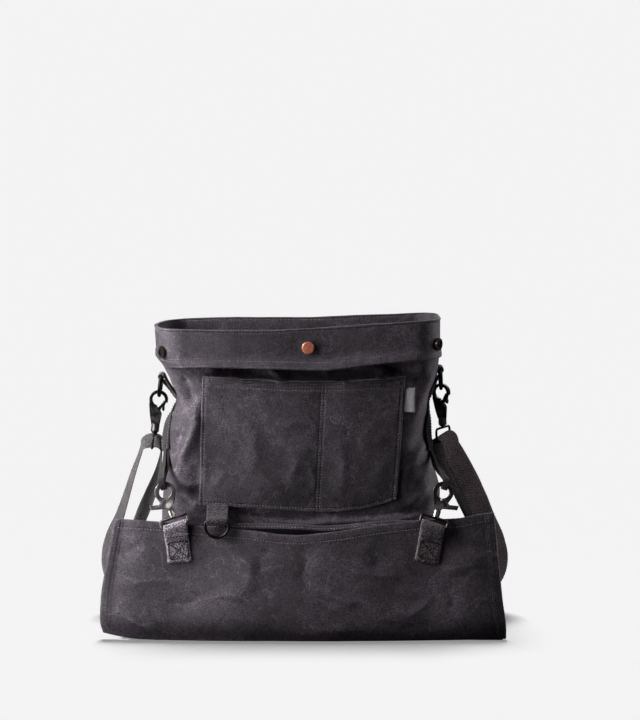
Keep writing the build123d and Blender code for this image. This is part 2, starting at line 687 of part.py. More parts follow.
for side_name, side, hook_plane in (("left", -1, LOW_LEFT), ("right", 1, LOW_RIGHT)):
    with BuildPart() as body:
        with Locations(hook_plane.location):
            add(flap_body_plain[-side])
    keep(body, f"flap_hook_body_{side_name}")
    with BuildPart() as gate:
        with Locations(hook_plane.location):
            add(flap_gate_plain[-side])
    keep(gate, f"flap_hook_gate_{side_name}")
    with BuildPart() as pin:
        with Locations(hook_plane.location):
            add(flap_rivet_plain.part)
    keep(pin, f"flap_hook_rivet_{side_name}")
    with BuildPart() as spring:
        with Locations(hook_plane.location):
            add(flap_spring_plain.part)
    keep(spring, f"flap_hook_spring_{side_name}")
    with BuildPart() as swivel_eye:
        with Locations(hook_plane.location):
            add(flap_eye_plain.part)
    keep(swivel_eye, f"flap_hook_eye_{side_name}")

    # webbing tab folded over the eye's bar and sewn to the flap's face
    bar = hook_plane.from_local_coords((0, -35.0, 0))
    bar_dir = hook_plane.x_dir
    tail = bar_dir.cross(FLAP.z_dir)
    if tail.Z > 0:
        tail = tail * -1
    across = FLAP.z_dir - bar_dir * FLAP.z_dir.dot(bar_dir)
    across = across.normalized()
    fold = Plane(origin=bar - bar_dir * (WEB_W / 2), x_dir=across, z_dir=bar_dir)
    sign = 1 if fold.y_dir.dot(tail) > 0 else -1
    reach = fold.to_local_coords(FLAP.from_local_coords((side * EYE_X, EYE_U, 0.2))).X
    with BuildPart() as flap_tab:
        with BuildSketch(fold) as s:
            Circle(FLAP_EYE_WIRE + 0.35 + WEB_T)
            with BuildLine():
                Polyline(
                    (FLAP_EYE_WIRE + 0.35 + WEB_T, 0),
                    (reach + TAB_T, sign * 9.0),
                    (reach + TAB_T, sign * 36.0),
                    (reach, sign * 36.0),
                    (reach, sign * 3.0),
                    (-FLAP_EYE_WIRE - 0.9, 0),
                    close=True,
                )
            make_face()
            Circle(FLAP_EYE_WIRE + 0.35, mode=Mode.SUBTRACT)
        extrude(s.sketch, amount=WEB_W)
    keep(flap_tab, f"flap_tab_{side_name}")

# ---------------------------------------------------------------- side tabs, side webbing, flap loops
for side_name, side, station in (("left", -1, UP_LEFT), ("right", 1, UP_RIGHT)):
    bar = station[0].origin
    foot_z = bar.Z - TAB_DROP[side]
    foot_x = wall_x(foot_z, BODY_Y, side) + side * (0.6 + WEB_T + TAB_T / 2)
    tail = Vector(foot_x - bar.X, 0, foot_z - bar.Z)
    length = tail.length
    fold = Plane(origin=Vector(bar.X, BODY_Y - WEB_W / 2, bar.Z), x_dir=tail.normalized(), z_dir=(0, 1, 0))
    with BuildPart() as side_tab:
        with BuildSketch(fold) as s:
            Circle(D_WIRE + 0.35 + WEB_T)
            with BuildLine():
                Polyline(
                    (0, D_WIRE + 0.35 + WEB_T), (8.0, TAB_T / 2), (length, TAB_T / 2), (length, -TAB_T / 2), (8.0, -TAB_T / 2),
                    (0, -D_WIRE - 0.35 - WEB_T), close=True,
                )
            make_face()
            Circle(D_WIRE + 0.35, mode=Mode.SUBTRACT)
        extrude(s.sketch, amount=WEB_W)
    keep(side_tab, f"side_tab_{side_name}")


def ribbon(stations, width, thick):
    """A flat strip lofted through (point, width direction) stations."""
    points = [Vector(*p) for p, _ in stations]
    cuts, before = [], None
    for i, (_, w) in enumerate(stations):
        a, b = points[max(i - 1, 0)], points[min(i + 1, len(points) - 1)]
        t = (b - a).normalized()
        w = Vector(*w)
        w = (w - t * w.dot(t)).normalized()
        if before is not None and w.dot(before) < 0:
            w = w * -1
        before = w
        with BuildSketch(Plane(origin=points[i], x_dir=w, z_dir=t)) as s:
            Rectangle(width, thick)
        cuts.append(s.sketch)
    loft(cuts, ruled=True)


# strip sewn to the body from the side tab down to the flap loop
for side_name, side, station in (("left", -1, UP_LEFT), ("right", 1, UP_RIGHT)):
    top = station[0].origin.Z - TAB_DROP[side] - 4.0
    low = 184.0
    stations = []
    for i in range(6):
        t = i / 5
        z = top + (low - top) * t
        y = BODY_Y - 24.0 * t
        x = wall_x(z, y, side)
        lead = wall_x(z, y - 1, side) - wall_x(z, y + 1, side)
        n = Vector(side * 2.0, side * lead, 0).normalized()
        w = Vector(-n.Y, n.X, 0)
        half = 9.0
        bulge = max(
            (Vector(wall_x(z, y + k * w.Y * half, side) - x, k * w.Y * half, 0).dot(n) for k in (-1, -0.5, 0.5, 1)), default=0.0
        )
        stations.append(((x + n.X * (1.8 + max(bulge, 0)), y + n.Y * (1.8 + max(bulge, 0)), z), (w.X, w.Y, 0)))
    with BuildPart() as side_strip:
        ribbon(stations, 18.0, WEB_T)
    keep(side_strip, f"side_webbing_{side_name}")

# loop that hangs from the strip's foot and that the flap hook clips into
for side_name, side, station in (("left", -1, LOW_LEFT), ("right", 1, LOW_RIGHT)):
    hook_plane = station
    claw = hook_plane.from_local_coords((0, 3.2, 0))  # lowest point of the loop, inside the claw
    up, out, nor = hook_plane.y_dir, hook_plane.x_dir, hook_plane.z_dir
    top = Vector(wall_x(181.0, -30.0, side) + side * 4.2, -32.6, 181.0)
    run = top - (claw + up * 12.0)
    front = [
        top + nor * 1.3,
        claw + up * 12.0 + run * 0.66 + nor * 3.4,
        claw + up * 12.0 + run * 0.30 + nor * 4.8,
        claw + up * 8.5 + nor * 5.8,
        claw + up * 4.6 + nor * 5.8,
        claw + up * 1.7 + nor * 4.7,
        claw + up * 0.3 + nor * 2.5,
        claw,
        claw + up * 0.3 - nor * 2.5,
        claw + up * 1.7 - nor * 4.7,
        claw + up * 4.6 - nor * 5.8,
        claw + up * 8.5 - nor * 5.8,
        claw + up * 12.0 + run * 0.30 - nor * 4.8,
        claw + up * 12.0 + run * 0.66 - nor * 3.4,
        top - nor * 1.3,
    ]
    with BuildPart() as flap_loop:
        ribbon([((p.X, p.Y, p.Z), (out.X, out.Y, out.Z)) for p in front], 8.4, 1.4)
    keep(flap_loop, f"flap_loop_{side_name}")

# ---------------------------------------------------------------- tool ring on the pocket's lower seam
with BuildPart() as tool_ring:
    d_ring(Plane(origin=(TOOL_X, TOOL_Y, TOOL_Z), x_dir=(1, 0, 0), z_dir=(0, -1, 0)), 11.8, 4.2, 1.6, 2.4)
keep(tool_ring, "tool_ring")

with BuildPart() as tool_tab:
    foot = Vector(0, POCKET_FRONT - 2.0 - TOOL_Y, 137.0 - TOOL_Z)
    with BuildSketch(Plane(origin=(TOOL_X - 9.5, TOOL_Y, TOOL_Z), x_dir=foot.normalized(), z_dir=(1, 0, 0))) as s:
        Circle(1.6 + 0.35 + 1.4)
        with BuildLine():
            Polyline(
                (0, 3.35), (6.0, 1.4), (foot.length, 1.4), (foot.length, -1.4), (6.0, -1.4), (0, -3.35), close=True
            )
        make_face()
        Circle(1.6 + 0.35, mode=Mode.SUBTRACT)
    extrude(s.sketch, amount=19.0)
keep(tool_tab, "tool_ring_tab")

# ---------------------------------------------------------------- carrying strap and its sliders
STRAP_Y = 66.5
SLIDER_X = 120.0
FLOOR_Z = WEB_T / 2 + 0.15


def strap_end(eye, outer, inner):
    """Stations of one doubled end, from the sewn end up over the eye's bar and down to the slider.
    Each leg is a list of (point, direction that the strap's outer face looks)."""
    bar, middle = eye.x_dir, eye.from_local_coords((0, -49.6, 0))
    out = Vector(bar.Y, -bar.X, 0).normalized()
    if out.X * middle.X < 0:
        out = out * -1
    rise = bar.cross(out)
    if rise.Z < 0:
        rise = rise * -1
    r = EYE_WIRE + 0.4 + WEB_T / 2
    arch = [middle - out * (r * cos(radians(a))) + rise * (r * sin(radians(a))) for a in (0, 45, 90, 135, 180)]
    points = [Vector(*p) for p, _ in inner] + arch + [Vector(*p) for p, _ in outer]
    faces = [n for _, n in inner] + [None] * len(arch) + [n for _, n in outer]
    found = []
    for i, (p, n) in enumerate(zip(points, faces)):
        t = (points[min(i + 1, len(points) - 1)] - points[max(i - 1, 0)]).normalized()
        w = bar if n is None else Vector(*n).cross(t)
        found.append(((p.X, p.Y, p.Z), (w.X, w.Y, w.Z)))
    return found


# each leg is drawn from the sewn end or the floor to the eye, with the way its face turns
left_inner = [
    ((-123.0, STRAP_Y, 6.6), (0, 0, 1)), ((-138.0, STRAP_Y, 7.8), (0.1, 0, 1)), ((-160.0, 64.5, 12.0), (0.3, 0, 0.95)),
    ((-175.0, 60.0, 21.0), (0.6, 0, 0.8)), ((-183.0, 53.0, 37.0), (0.88, 0.1, 0.45)), ((-184.0, 44.0, 57.0), (0.95, 0.25, 0.15)),
    ((-178.5, 34.5, 80.0), (0.9, 0.42, 0)), ((-169.5, 24.0, 106.0), (0.88, 0.45, 0)), ((-158.5, 13.0, 135.0), (0.9, 0.4, 0)),
    ((-150.5, 4.0, 155.0), (0.95, 0.25, 0)), ((-150.0, -1.5, 172.0), (1, 0.1, 0)),
]
left_outer = [
    ((-163.5, -3.5, 177.0), (-0.95, -0.25, 0)), ((-172.0, 0.0, 160.0), (-0.9, -0.4, 0.1)), ((-182.5, 5.0, 136.0), (-0.85, -0.5, 0.1)),
    ((-192.5, 12.0, 111.0), (-0.83, -0.55, 0.1)), ((-201.5, 20.0, 88.0), (-0.83, -0.55, 0)), ((-207.0, 29.0, 66.0), (-0.87, -0.45, -0.1)),
    ((-208.5, 38.5, 46.0), (-0.9, -0.3, -0.2)), ((-205.0, 48.0, 28.0), (-0.85, -0.1, -0.5)), ((-195.0, 56.5, 13.5), (-0.55, 0, -0.83)),
    ((-180.0, 63.0, 5.6), (-0.3, 0, -0.95)), ((-162.0, STRAP_Y, 2.0), (-0.05, 0, -1)), ((-140.0, STRAP_Y, FLOOR_Z), (0, 0, -1)),
]
right_inner = [
    ((123.0, STRAP_Y, 6.6), (0, 0, 1)), ((138.0, STRAP_Y, 7.8), (-0.1, 0, 1)), ((160.0, 64.5, 12.0), (-0.3, 0, 0.95)),
    ((176.0, 60.0, 21.0), (-0.6, 0.05, 0.8)), ((185.5, 53.0, 37.0), (-0.85, 0.25, 0.45)), ((189.0, 44.0, 56.0), (-0.75, 0.6, 0.15)),
    ((187.0, 35.0, 77.0), (-0.55, 0.83, 0)), ((180.0, 26.0, 98.0), (-0.4, 0.9, -0.1)), ((168.0, 16.0, 122.0), (-0.35, 0.92, -0.1)),
    ((155.0, 7.0, 147.0), (-0.45, 0.88, 0)), ((145.0, 0.5, 171.0), (-0.7, 0.7, 0)),
]
right_outer = [
    ((148.5, -6.5, 181.0), (0.75, -0.65, 0.1)), ((157.0, -4.5, 160.0), (0.5, -0.85, 0.1)), ((170.5, 1.0, 133.0), (0.3, -0.93, 0.15)),
    ((187.0, 9.0, 106.0), (0.3, -0.93, 0.15)), ((198.5, 18.0, 85.0), (0.4, -0.9, 0.1)), ((204.0, 27.0, 65.0), (0.55, -0.83, 0)),
    ((205.0, 37.0, 45.0), (0.75, -0.62, -0.15)), ((202.5, 47.5, 28.0), (0.85, -0.25, -0.45)), ((194.5, 56.5, 13.5), (0.6, 0, -0.8)),
    ((180.0, 63.0, 5.6), (0.3, 0, -0.95)), ((162.0, STRAP_Y, 2.0), (0.05, 0, -1)), ((140.0, STRAP_Y, FLOOR_Z), (0, 0, -1)),
]
over = [(13.0, FLOOR_Z), (8.6, FLOOR_Z), (2.6, 3.5), (-2.6, 3.5), (-8.6, FLOOR_Z), (-13.0, FLOOR_Z)]
stations = strap_end(UP_LEFT[2], left_outer, left_inner)
stations += [((-SLIDER_X - d, STRAP_Y, z), (0, 1, 0)) for d, z in over]
stations += [((-60.0, STRAP_Y, FLOOR_Z), (0, 1, 0)), ((60.0, STRAP_Y, FLOOR_Z), (0, 1, 0))]
stations += [((SLIDER_X - d, STRAP_Y, z), (0, 1, 0)) for d, z in over]
stations += reversed(strap_end(UP_RIGHT[2], right_outer, right_inner))
with BuildPart() as strap:
    ribbon(stations, WEB_W, WEB_T)
keep(strap, "carrying_strap")
length = sum((Vector(*a[0]) - Vector(*b[0])).length for a, b in zip(stations, stations[1:]))
print("strap length", round(length, 1), "volume over section", round(strap.part.volume / (WEB_W * WEB_T), 1))

# three-bar sliders that the strap weaves through: outer bars above it, middle bar under it
for side_name, side in (("left", -1), ("right", 1)):
    with BuildPart() as slider:
        with BuildSketch(Plane.XY.offset(2.3)) as s:
            with Locations((side * SLIDER_X, STRAP_Y)):
                RectangleRounded(23.0, WEB_W + 7.0, 3.0)
                Rectangle(17.0, WEB_W + 1.2, mode=Mode.SUBTRACT)
        extrude(s.sketch, amount=2.6)
        with BuildSketch(Plane.XY.offset(0.2)) as s:
            with Locations((side * SLIDER_X, STRAP_Y)):
                Rectangle(3.2, WEB_W + 6.0)
        extrude(s.sketch, amount=2.1)
        with BuildSketch(Plane.XY.offset(0.2)) as s:
            with Locations(
                (side * SLIDER_X, STRAP_Y - WEB_W / 2 - 1.9), (side * SLIDER_X, STRAP_Y + WEB_W / 2 + 1.9)
            ):
                Rectangle(3.2, 2.4)
        extrude(s.sketch, amount=3.0)
    keep(slider, f"strap_slider_{side_name}")
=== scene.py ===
"""Looks of the harvest bag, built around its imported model. Coordinates in the code are millimetres in
the model's own frame (+Z up, -Y the front) and become metres when a mesh is made."""

import math

import bpy
import numpy as np
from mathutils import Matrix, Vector


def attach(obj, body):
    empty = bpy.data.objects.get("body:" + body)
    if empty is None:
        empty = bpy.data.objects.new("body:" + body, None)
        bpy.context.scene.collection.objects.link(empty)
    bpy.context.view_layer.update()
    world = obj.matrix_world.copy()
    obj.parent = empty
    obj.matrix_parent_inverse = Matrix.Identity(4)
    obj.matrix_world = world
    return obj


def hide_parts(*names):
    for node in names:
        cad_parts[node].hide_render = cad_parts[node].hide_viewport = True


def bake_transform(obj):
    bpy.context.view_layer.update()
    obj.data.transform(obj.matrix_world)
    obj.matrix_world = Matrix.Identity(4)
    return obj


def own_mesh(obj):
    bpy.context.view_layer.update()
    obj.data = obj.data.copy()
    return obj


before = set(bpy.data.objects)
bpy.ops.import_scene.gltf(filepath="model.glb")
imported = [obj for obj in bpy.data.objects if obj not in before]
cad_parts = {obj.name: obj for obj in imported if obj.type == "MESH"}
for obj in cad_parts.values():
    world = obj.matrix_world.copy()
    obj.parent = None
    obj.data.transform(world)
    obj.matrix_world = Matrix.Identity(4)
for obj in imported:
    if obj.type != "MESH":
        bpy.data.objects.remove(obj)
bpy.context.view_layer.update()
scene = bpy.context.scene
MM = 0.001
TAU = 2 * math.pi


# ------------------------------------------------------------------------------- small numeric tools
def hashed(ix, iy, iz, seed):
    """A repeatable number from -1 to 1 for each lattice point."""
    h = (
        ix.astype(np.uint64) * np.uint64(374761393)
        + iy.astype(np.uint64) * np.uint64(668265263)
        + iz.astype(np.uint64) * np.uint64(1440662683)
        + np.uint64(seed * 974711 + 12345)
    ) & np.uint64(0xFFFFFFFF)
    h = ((h ^ (h >> np.uint64(13))) * np.uint64(1274126177)) & np.uint64(0xFFFFFFFF)
    h = ((h ^ (h >> np.uint64(15))) * np.uint64(668265263)) & np.uint64(0xFFFFFFFF)
    return ((h ^ (h >> np.uint64(16))) & np.uint64(0xFFFFFF)).astype(float) / float(0x7FFFFF) - 1.0


def noise3(p, size, seed):
    """Smooth noise from -1 to 1 at points, with features about size across."""
    q = np.asarray(p, float) / size + 1000.0
    i = np.floor(q).astype(np.int64)
    f = q - i
    f = f * f * f * (f * (f * 6 - 15) + 10)
    out = 0.0
    for dx in (0, 1):
        for dy in (0, 1):
            for dz in (0, 1):
                w = (f[..., 0] if dx else 1 - f[..., 0]) * (f[..., 1] if dy else 1 - f[..., 1]) * (f[..., 2] if dz else 1 - f[..., 2])
                out = out + w * hashed(i[..., 0] + dx, i[..., 1] + dy, i[..., 2] + dz, seed)
    return out


def rough(p, size, seed, octaves=3, gain=0.5):
    out, amp, total = 0.0, 1.0, 0.0
    for k in range(octaves):
        out = out + amp * noise3(p, size / 2**k, seed + 17 * k)
        total += amp
        amp *= gain
    return out / total


def smooth(a, b, x):
    t = np.clip((np.asarray(x, float) - a) / (b - a), 0, 1)
    return t * t * (3 - 2 * t)


def curve(keys, x):
    """Smooth line through (x, value) keys, without overshoot."""
    kx = np.array([k[0] for k in keys], float)
    ky = np.array([k[1] for k in keys], float)
    h = np.diff(kx)
    d = np.diff(ky) / h
    m = np.zeros(len(kx))
    m[0], m[-1] = d[0], d[-1]
    for i in range(1, len(kx) - 1):
        if d[i - 1] * d[i] > 0:
            w1, w2 = 2 * h[i] + h[i - 1], h[i] + 2 * h[i - 1]
            m[i] = (w1 + w2) / (w1 / d[i - 1] + w2 / d[i])
    x = np.clip(np.asarray(x, float), kx[0], kx[-1])
    i = np.clip(np.searchsorted(kx, x, side="right") - 1, 0, len(kx) - 2)
    t = (x - kx[i]) / h[i]
    return (
        (1 + 2 * t) * (1 - t) ** 2 * ky[i]
        + t * (1 - t) ** 2 * h[i] * m[i]
        + t * t * (3 - 2 * t) * ky[i + 1]
        + t * t * (t - 1) * h[i] * m[i + 1]
    )


def unit(v):
    return v / np.maximum(np.linalg.norm(v, axis=-1, keepdims=True), 1e-12)


def near_line(a, b, points):
    """Distance from (a, b) to a polyline in that plane, and how far along it the nearest point is, 0 to 1."""
    pts = np.array(points, float)
    seg = np.linalg.norm(np.diff(pts, axis=0), axis=1)
    start = np.concatenate([[0], np.cumsum(seg)])
    best = np.full(np.shape(a), 1e9)
    along = np.zeros(np.shape(a))
    for k in range(len(pts) - 1):
        p, q = pts[k], pts[k + 1]
        d = q - p
        t = np.clip(((a - p[0]) * d[0] + (b - p[1]) * d[1]) / max(d @ d, 1e-9), 0, 1)
        r = np.hypot(a - p[0] - t * d[0], b - p[1] - t * d[1])
        hit = r < best
        best = np.where(hit, r, best)
        along = np.where(hit, (start[k] + t * seg[k]) / start[-1], along)
    return best, along


def folds(a, b, rows, seed=0):
    """Relief and paleness of a list of folds (points, width, height): positive height is a ridge."""
    relief = np.zeros(np.shape(a))
    pale = np.zeros(np.shape(a))
    p = np.stack([a, b, np.zeros(np.shape(a)) + seed * 31.7], -1)
    wob = 0.45 * noise3(p, 34, seed + 3)
    wob2 = 0.45 * noise3(p, 34, seed + 4)
    for k, (points, width, height) in enumerate(rows):
        d, s = near_line(a + wob * width, b + wob2 * width, points)
        fade = smooth(0, 0.3, s) * smooth(0, 0.3, 1 - s)
        relief = relief + height * fade * np.exp(-((d / width) ** 1.5))
        line = np.exp(-((d / 1.5) ** 2)) * fade * min(1.0, abs(height) / 2.2)
        pale = np.maximum(pale, line * (0.55 + 0.45 * noise3(p, 9, seed + 50 + k)))
    return relief, np.clip(pale, 0, 1)


# ------------------------------------------------------------------------------- meshes from grids
class Build:
    """Collects grids into one mesh, with a UV map in metres and a paleness value at each point."""

    def __init__(self):
        self.v, self.f, self.uv, self.pale, self.count = [], [], [], [], 0

    def grid(self, pts, uv, pale=None, wrap_u=False, wrap_v=False, flip=False):
        """pts is (n, m, 3); uv is (n or n+1, m or m+1, 2), one more where the grid wraps."""
        n, m = pts.shape[:2]
        idx = np.arange(n * m).reshape(n, m) + self.count
        self.v.append(pts.reshape(-1, 3))
        self.pale.append((np.zeros((n, m)) if pale is None else pale).reshape(-1))
        self.count += n * m
        iu = np.arange(n if wrap_u else n - 1)
        iv = np.arange(m if wrap_v else m - 1)
        a, b = np.meshgrid(iu, iv, indexing="ij")
        a2, b2 = (a + 1) % n, (b + 1) % m
        quads = np.stack([idx[a, b], idx[a2, b], idx[a2, b2], idx[a, b2]], -1).reshape(-1, 4)
        tex = np.stack([uv[a, b], uv[a + 1, b], uv[a + 1, b + 1], uv[a, b + 1]], -2).reshape(-1, 4, 2)
        if flip:
            quads, tex = quads[:, ::-1], tex[:, ::-1]
        self.f.append(quads)
        self.uv.append(tex)
        return idx

    def quads(self, idx4, uv4):
        self.f.append(np.asarray(idx4).reshape(-1, 4))
        self.uv.append(np.asarray(uv4, float).reshape(-1, 4, 2))

    def done(self, name, material):
        v = np.concatenate(self.v) * MM
        f = np.concatenate(self.f)
        uv = np.concatenate(self.uv) * MM
        mesh = bpy.data.meshes.new(name)
        mesh.vertices.add(len(v))
        mesh.vertices.foreach_set("co", v.astype(np.float32).ravel())
        mesh.loops.add(f.size)
        mesh.loops.foreach_set("vertex_index", f.astype(np.int32).ravel())
        mesh.polygons.add(len(f))
        mesh.polygons.foreach_set("loop_start", np.arange(0, f.size, 4, dtype=np.int32))
        mesh.polygons.foreach_set("loop_total", np.full(len(f), 4, np.int32))
        layer = mesh.uv_layers.new(name="cloth")
        layer.data.foreach_set("uv", uv.astype(np.float32).ravel())
        att = mesh.attributes.new("pale", "FLOAT", "POINT")
        att.data.foreach_set("value", np.concatenate(self.pale).astype(np.float32))
        mesh.update(calc_edges=True)
        mesh.validate()
        mesh.polygons.foreach_set("use_smooth", np.ones(len(mesh.polygons), bool))
        mesh.materials.append(material)
        obj = bpy.data.objects.new(name, mesh)
        scene.collection.objects.link(obj)
        return obj


def grid_normals(p, wrap_u=False, wrap_v=False):
    """Unit normals of a grid: along u crossed with along v."""

    def along(axis, wrap):
        if wrap:
            return np.roll(p, -1, axis) - np.roll(p, 1, axis)
        return np.gradient(p, axis=axis)

    return unit(np.cross(along(0, wrap_u), along(1, wrap_v)))


def lengths(p, axis, wrap=False):
    """Running length along an axis of a grid, with one more entry if it wraps."""
    if wrap:
        p = np.concatenate([p, np.take(p, [0], axis)], axis)
    step = np.linalg.norm(np.diff(p, axis=axis), axis=-1)
    pad = np.zeros_like(np.take(step, [0], axis))
    return np.concatenate([pad, np.cumsum(step, axis)], axis)


def cloth_uv(p, wrap_u=False):
    """UV in millimetres that follows the cloth: mean length along u, and length along v."""
    n, m = p.shape[:2]
    u = lengths(p, 0, wrap_u).mean(axis=1)
    v = lengths(p, 1).mean(axis=0)
    return np.stack(np.broadcast_arrays(u[:, None], v[None, :]), -1).astype(float)


def sheet_shell(build, p, thick, wrap_u=False, pale=None, normals=None, uv_shift=(0, 0), end_caps=True):
    """A layer of cloth of a thickness on a grid of its outer face: both faces and rounded edges."""
    nrm = grid_normals(p, wrap_u) if normals is None else normals
    n, m = p.shape[:2]
    t = np.broadcast_to(np.asarray(thick, float), (n, m))[..., None]
    uv = cloth_uv(p, wrap_u) + np.array(uv_shift, float)
    inner = p - nrm * t
    lo = unit(p[:, 0] - p[:, 1])
    hi = unit(p[:, -1] - p[:, -2])
    top = (p[:, -1] + inner[:, -1]) / 2 + hi * t[:, -1] * 0.55
    bottom = (p[:, 0] + inner[:, 0]) / 2 + lo * t[:, 0] * 0.55
    loop = np.concatenate([p, top[:, None], inner[:, ::-1], bottom[:, None]], 1)
    pl = np.zeros((n, m)) if pale is None else pale
    loop_pale = np.concatenate([pl, pl[:, -1:], pl[:, ::-1], pl[:, :1]], 1)
    v = uv[..., 1]
    du = uv[:, :1, :]
    vv = np.concatenate([v, v[:, -1:] + 1, v[:, ::-1] + 2, v[:, :1] + 1, v[:, :1]], 1)
    full = np.stack([np.broadcast_to(du[..., 0], vv.shape), vv], -1)
    idx = build.grid(loop, full, loop_pale, wrap_u=wrap_u, wrap_v=True)
    if not wrap_u and end_caps:
        for end, step, flip in ((0, 1, False), (n - 1, -1, True)):
            outdir = unit(loop[end] - loop[end + step])
            mid = (loop[end, :m] + loop[end, m + 1 : 2 * m + 1][::-1]) / 2
            cap = np.empty((m, 3))
            cap[:] = mid + outdir[:m] * t[end] * 0.5
            base = build.count
            build.v.append(cap)
            build.pale.append(pl[end])
            build.count += m
            front, back = idx[end, :m], idx[end, m + 1 : 2 * m + 1][::-1]
            c = base + np.arange(m)
            q1 = np.stack([front[:-1], front[1:], c[1:], c[:-1]], -1)
            q2 = np.stack([c[:-1], c[1:], back[1:], back[:-1]], -1)
            q = np.concatenate([q1, q2])
            if flip:
                q = q[:, ::-1]
            uvc = np.stack([full[end, : m - 1], full[end, 1:m], full[end, 1:m] + [1, 0], full[end, : m - 1] + [1, 0]], -2)
            build.quads(q, np.concatenate([uvc, uvc]))
            # the two short ends of the cap
            for k, edge in ((0, idx[end, 2 * m + 1]), (m - 1, idx[end, m])):
                tri = [front[k], c[k], back[k], edge]
                if (k == 0) == (not flip):
                    tri = tri[::-1]
                build.quads([tri], [[full[end, k]] * 4])
    return idx, nrm


class Face:
    """A finished grid that seams can be laid on, by fractional row and column."""

    def __init__(self, p, n, wrap=False):
        self.p, self.n, self.wrap = p, n, wrap

    def at(self, i, j):
        i, j = np.asarray(i, float), np.asarray(j, float)
        nu, nv = self.p.shape[:2]
        i0 = np.floor(i).astype(int)
        if not self.wrap:
            i0 = np.clip(i0, 0, nu - 2)
        j0 = np.clip(np.floor(j).astype(int), 0, nv - 2)
        fi, fj = (i - i0)[..., None], (j - j0)[..., None]
        i1, i0 = (i0 + 1) % nu if self.wrap else i0 + 1, i0 % nu

        def mix(g):
            return (g[i0, j0] * (1 - fi) + g[i1, j0] * fi) * (1 - fj) + (g[i0, j0 + 1] * (1 - fi) + g[i1, j0 + 1] * fi) * fj

        return mix(self.p), unit(mix(self.n))


class Stitches:
    """Rows of thread, each stitch a short strand that dips into the cloth at both ends."""

    RINGS = np.array([-1.0, -0.72, -0.25, 0.25, 0.72, 1.0])
    SIZE = np.array([0.35, 0.85, 1.0, 1.0, 0.85, 0.35])
    LIFT = np.array([-0.5, -0.05, 0.3, 0.3, -0.05, -0.5])

    def __init__(self):
        self.build = Build()
        self.rng = np.random.default_rng(7)

    def row(self, pts, nrm, pitch=3.0, length=1.85, radius=0.43, closed=False):
        if closed:
            pts, nrm = np.concatenate([pts, pts[:1]]), np.concatenate([nrm, nrm[:1]])
        run = np.concatenate([[0], np.cumsum(np.linalg.norm(np.diff(pts, axis=0), axis=1))])
        count = max(int(run[-1] / pitch), 1)
        s = (np.arange(count) + 0.5) * run[-1] / count

        def sample(a, x):
            return np.stack([np.interp(x, run, a[:, k]) for k in range(3)], -1)

        half = length / 2 * self.rng.uniform(0.9, 1.08, count)
        a, b = sample(pts, s - half), sample(pts, s + half)
        mid, up = sample(pts, s), unit(sample(nrm, s))
        t = unit(b - a)
        up = unit(up - t * (up * t).sum(-1, keepdims=True))
        side = np.cross(t, up)
        slant = self.rng.uniform(-0.02, 0.14, count)[:, None]
        t = unit(t + side * slant)
        side = np.cross(t, up)
        ang = np.arange(6) * TAU / 6
        ring = np.cos(ang)[:, None] * 1.0, np.sin(ang)[:, None] * 0.82
        pts_all = (
            mid[:, None, None, :]
            + t[:, None, None, :] * (self.RINGS[None, :, None, None] * half[:, None, None, None])
            + up[:, None, None, :] * (self.LIFT[None, :, None, None] * radius + 0.04)
            + side[:, None, None, :] * (ring[0][None, None, :, :] * radius * self.SIZE[None, :, None, None])
            + up[:, None, None, :] * (ring[1][None, None, :, :] * radius * self.SIZE[None, :, None, None])
        )
        nr, ns = len(self.RINGS), 6
        base = self.build.count + np.arange(count)[:, None, None] * nr * ns
        r, k = np.meshgrid(np.arange(nr - 1), np.arange(ns), indexing="ij")
        k2 = (k + 1) % ns
        q = np.stack([r * ns + k, r * ns + k2, (r + 1) * ns + k2, (r + 1) * ns + k], -1).reshape(1, -1, 4)
        caps = np.array([[3, 2, 1, 0], [0, 5, 4, 3], [(nr - 1) * ns + c for c in (0, 1, 2, 3)], [(nr - 1) * ns + c for c in (3, 4, 5, 0)]])[None]
        q = np.concatenate([q, caps], 1) + base
        self.build.v.append(pts_all.reshape(-1, 3))
        self.build.pale.append(np.repeat(self.rng.uniform(0, 1, count), nr * ns))
        self.build.count += count * nr * ns
        uv = np.zeros((count, q.shape[1], 4, 2))
        uv[..., 1] = np.array([0, 0, 1, 1]) * 0.4
        uv[..., 0] = np.array([0, 0.3, 0.3, 0])
        uv = uv + np.stack([np.zeros(count), s], -1)[:, None, None, :]
        self.build.f.append(q.reshape(-1, 4))
        self.build.uv.append(uv.reshape(-1, 4, 2))


bag_thread, flap_thread, tab_thread = Stitches(), Stitches(), Stitches()


# ------------------------------------------------------------------------------- materials
def put(tree, kind, inputs=None, **props):
    node = tree.nodes.new(kind)
    for k, v in props.items():
        setattr(node, k, v)
    for k, v in (inputs or {}).items():
        if isinstance(v, bpy.types.NodeSocket):
            tree.links.new(v, node.inputs[k])
        else:
            node.inputs[k].default_value = v
    return node


def calc(tree, op, a, b=None, c=None, clamp=False):
    node = tree.nodes.new("ShaderNodeMath")
    node.operation, node.use_clamp = op, clamp
    for k, v in enumerate((a, b, c)):
        if v is None:
            continue
        if isinstance(v, bpy.types.NodeSocket):
            tree.links.new(v, node.inputs[k])
        else:
            node.inputs[k].default_value = v
    return node.outputs[0]


def ramp(tree, fac, stops, ease="LINEAR"):
    node = tree.nodes.new("ShaderNodeValToRGB")
    node.color_ramp.interpolation = ease
    els = node.color_ramp.elements
    while len(els) < len(stops):
        els.new(0.5)
    for e, (pos, col) in zip(els, stops):
        e.position = pos
        e.color = (*col, 1) if len(col) == 3 else col
    tree.links.new(fac, node.inputs[0])
    return node.outputs[0]


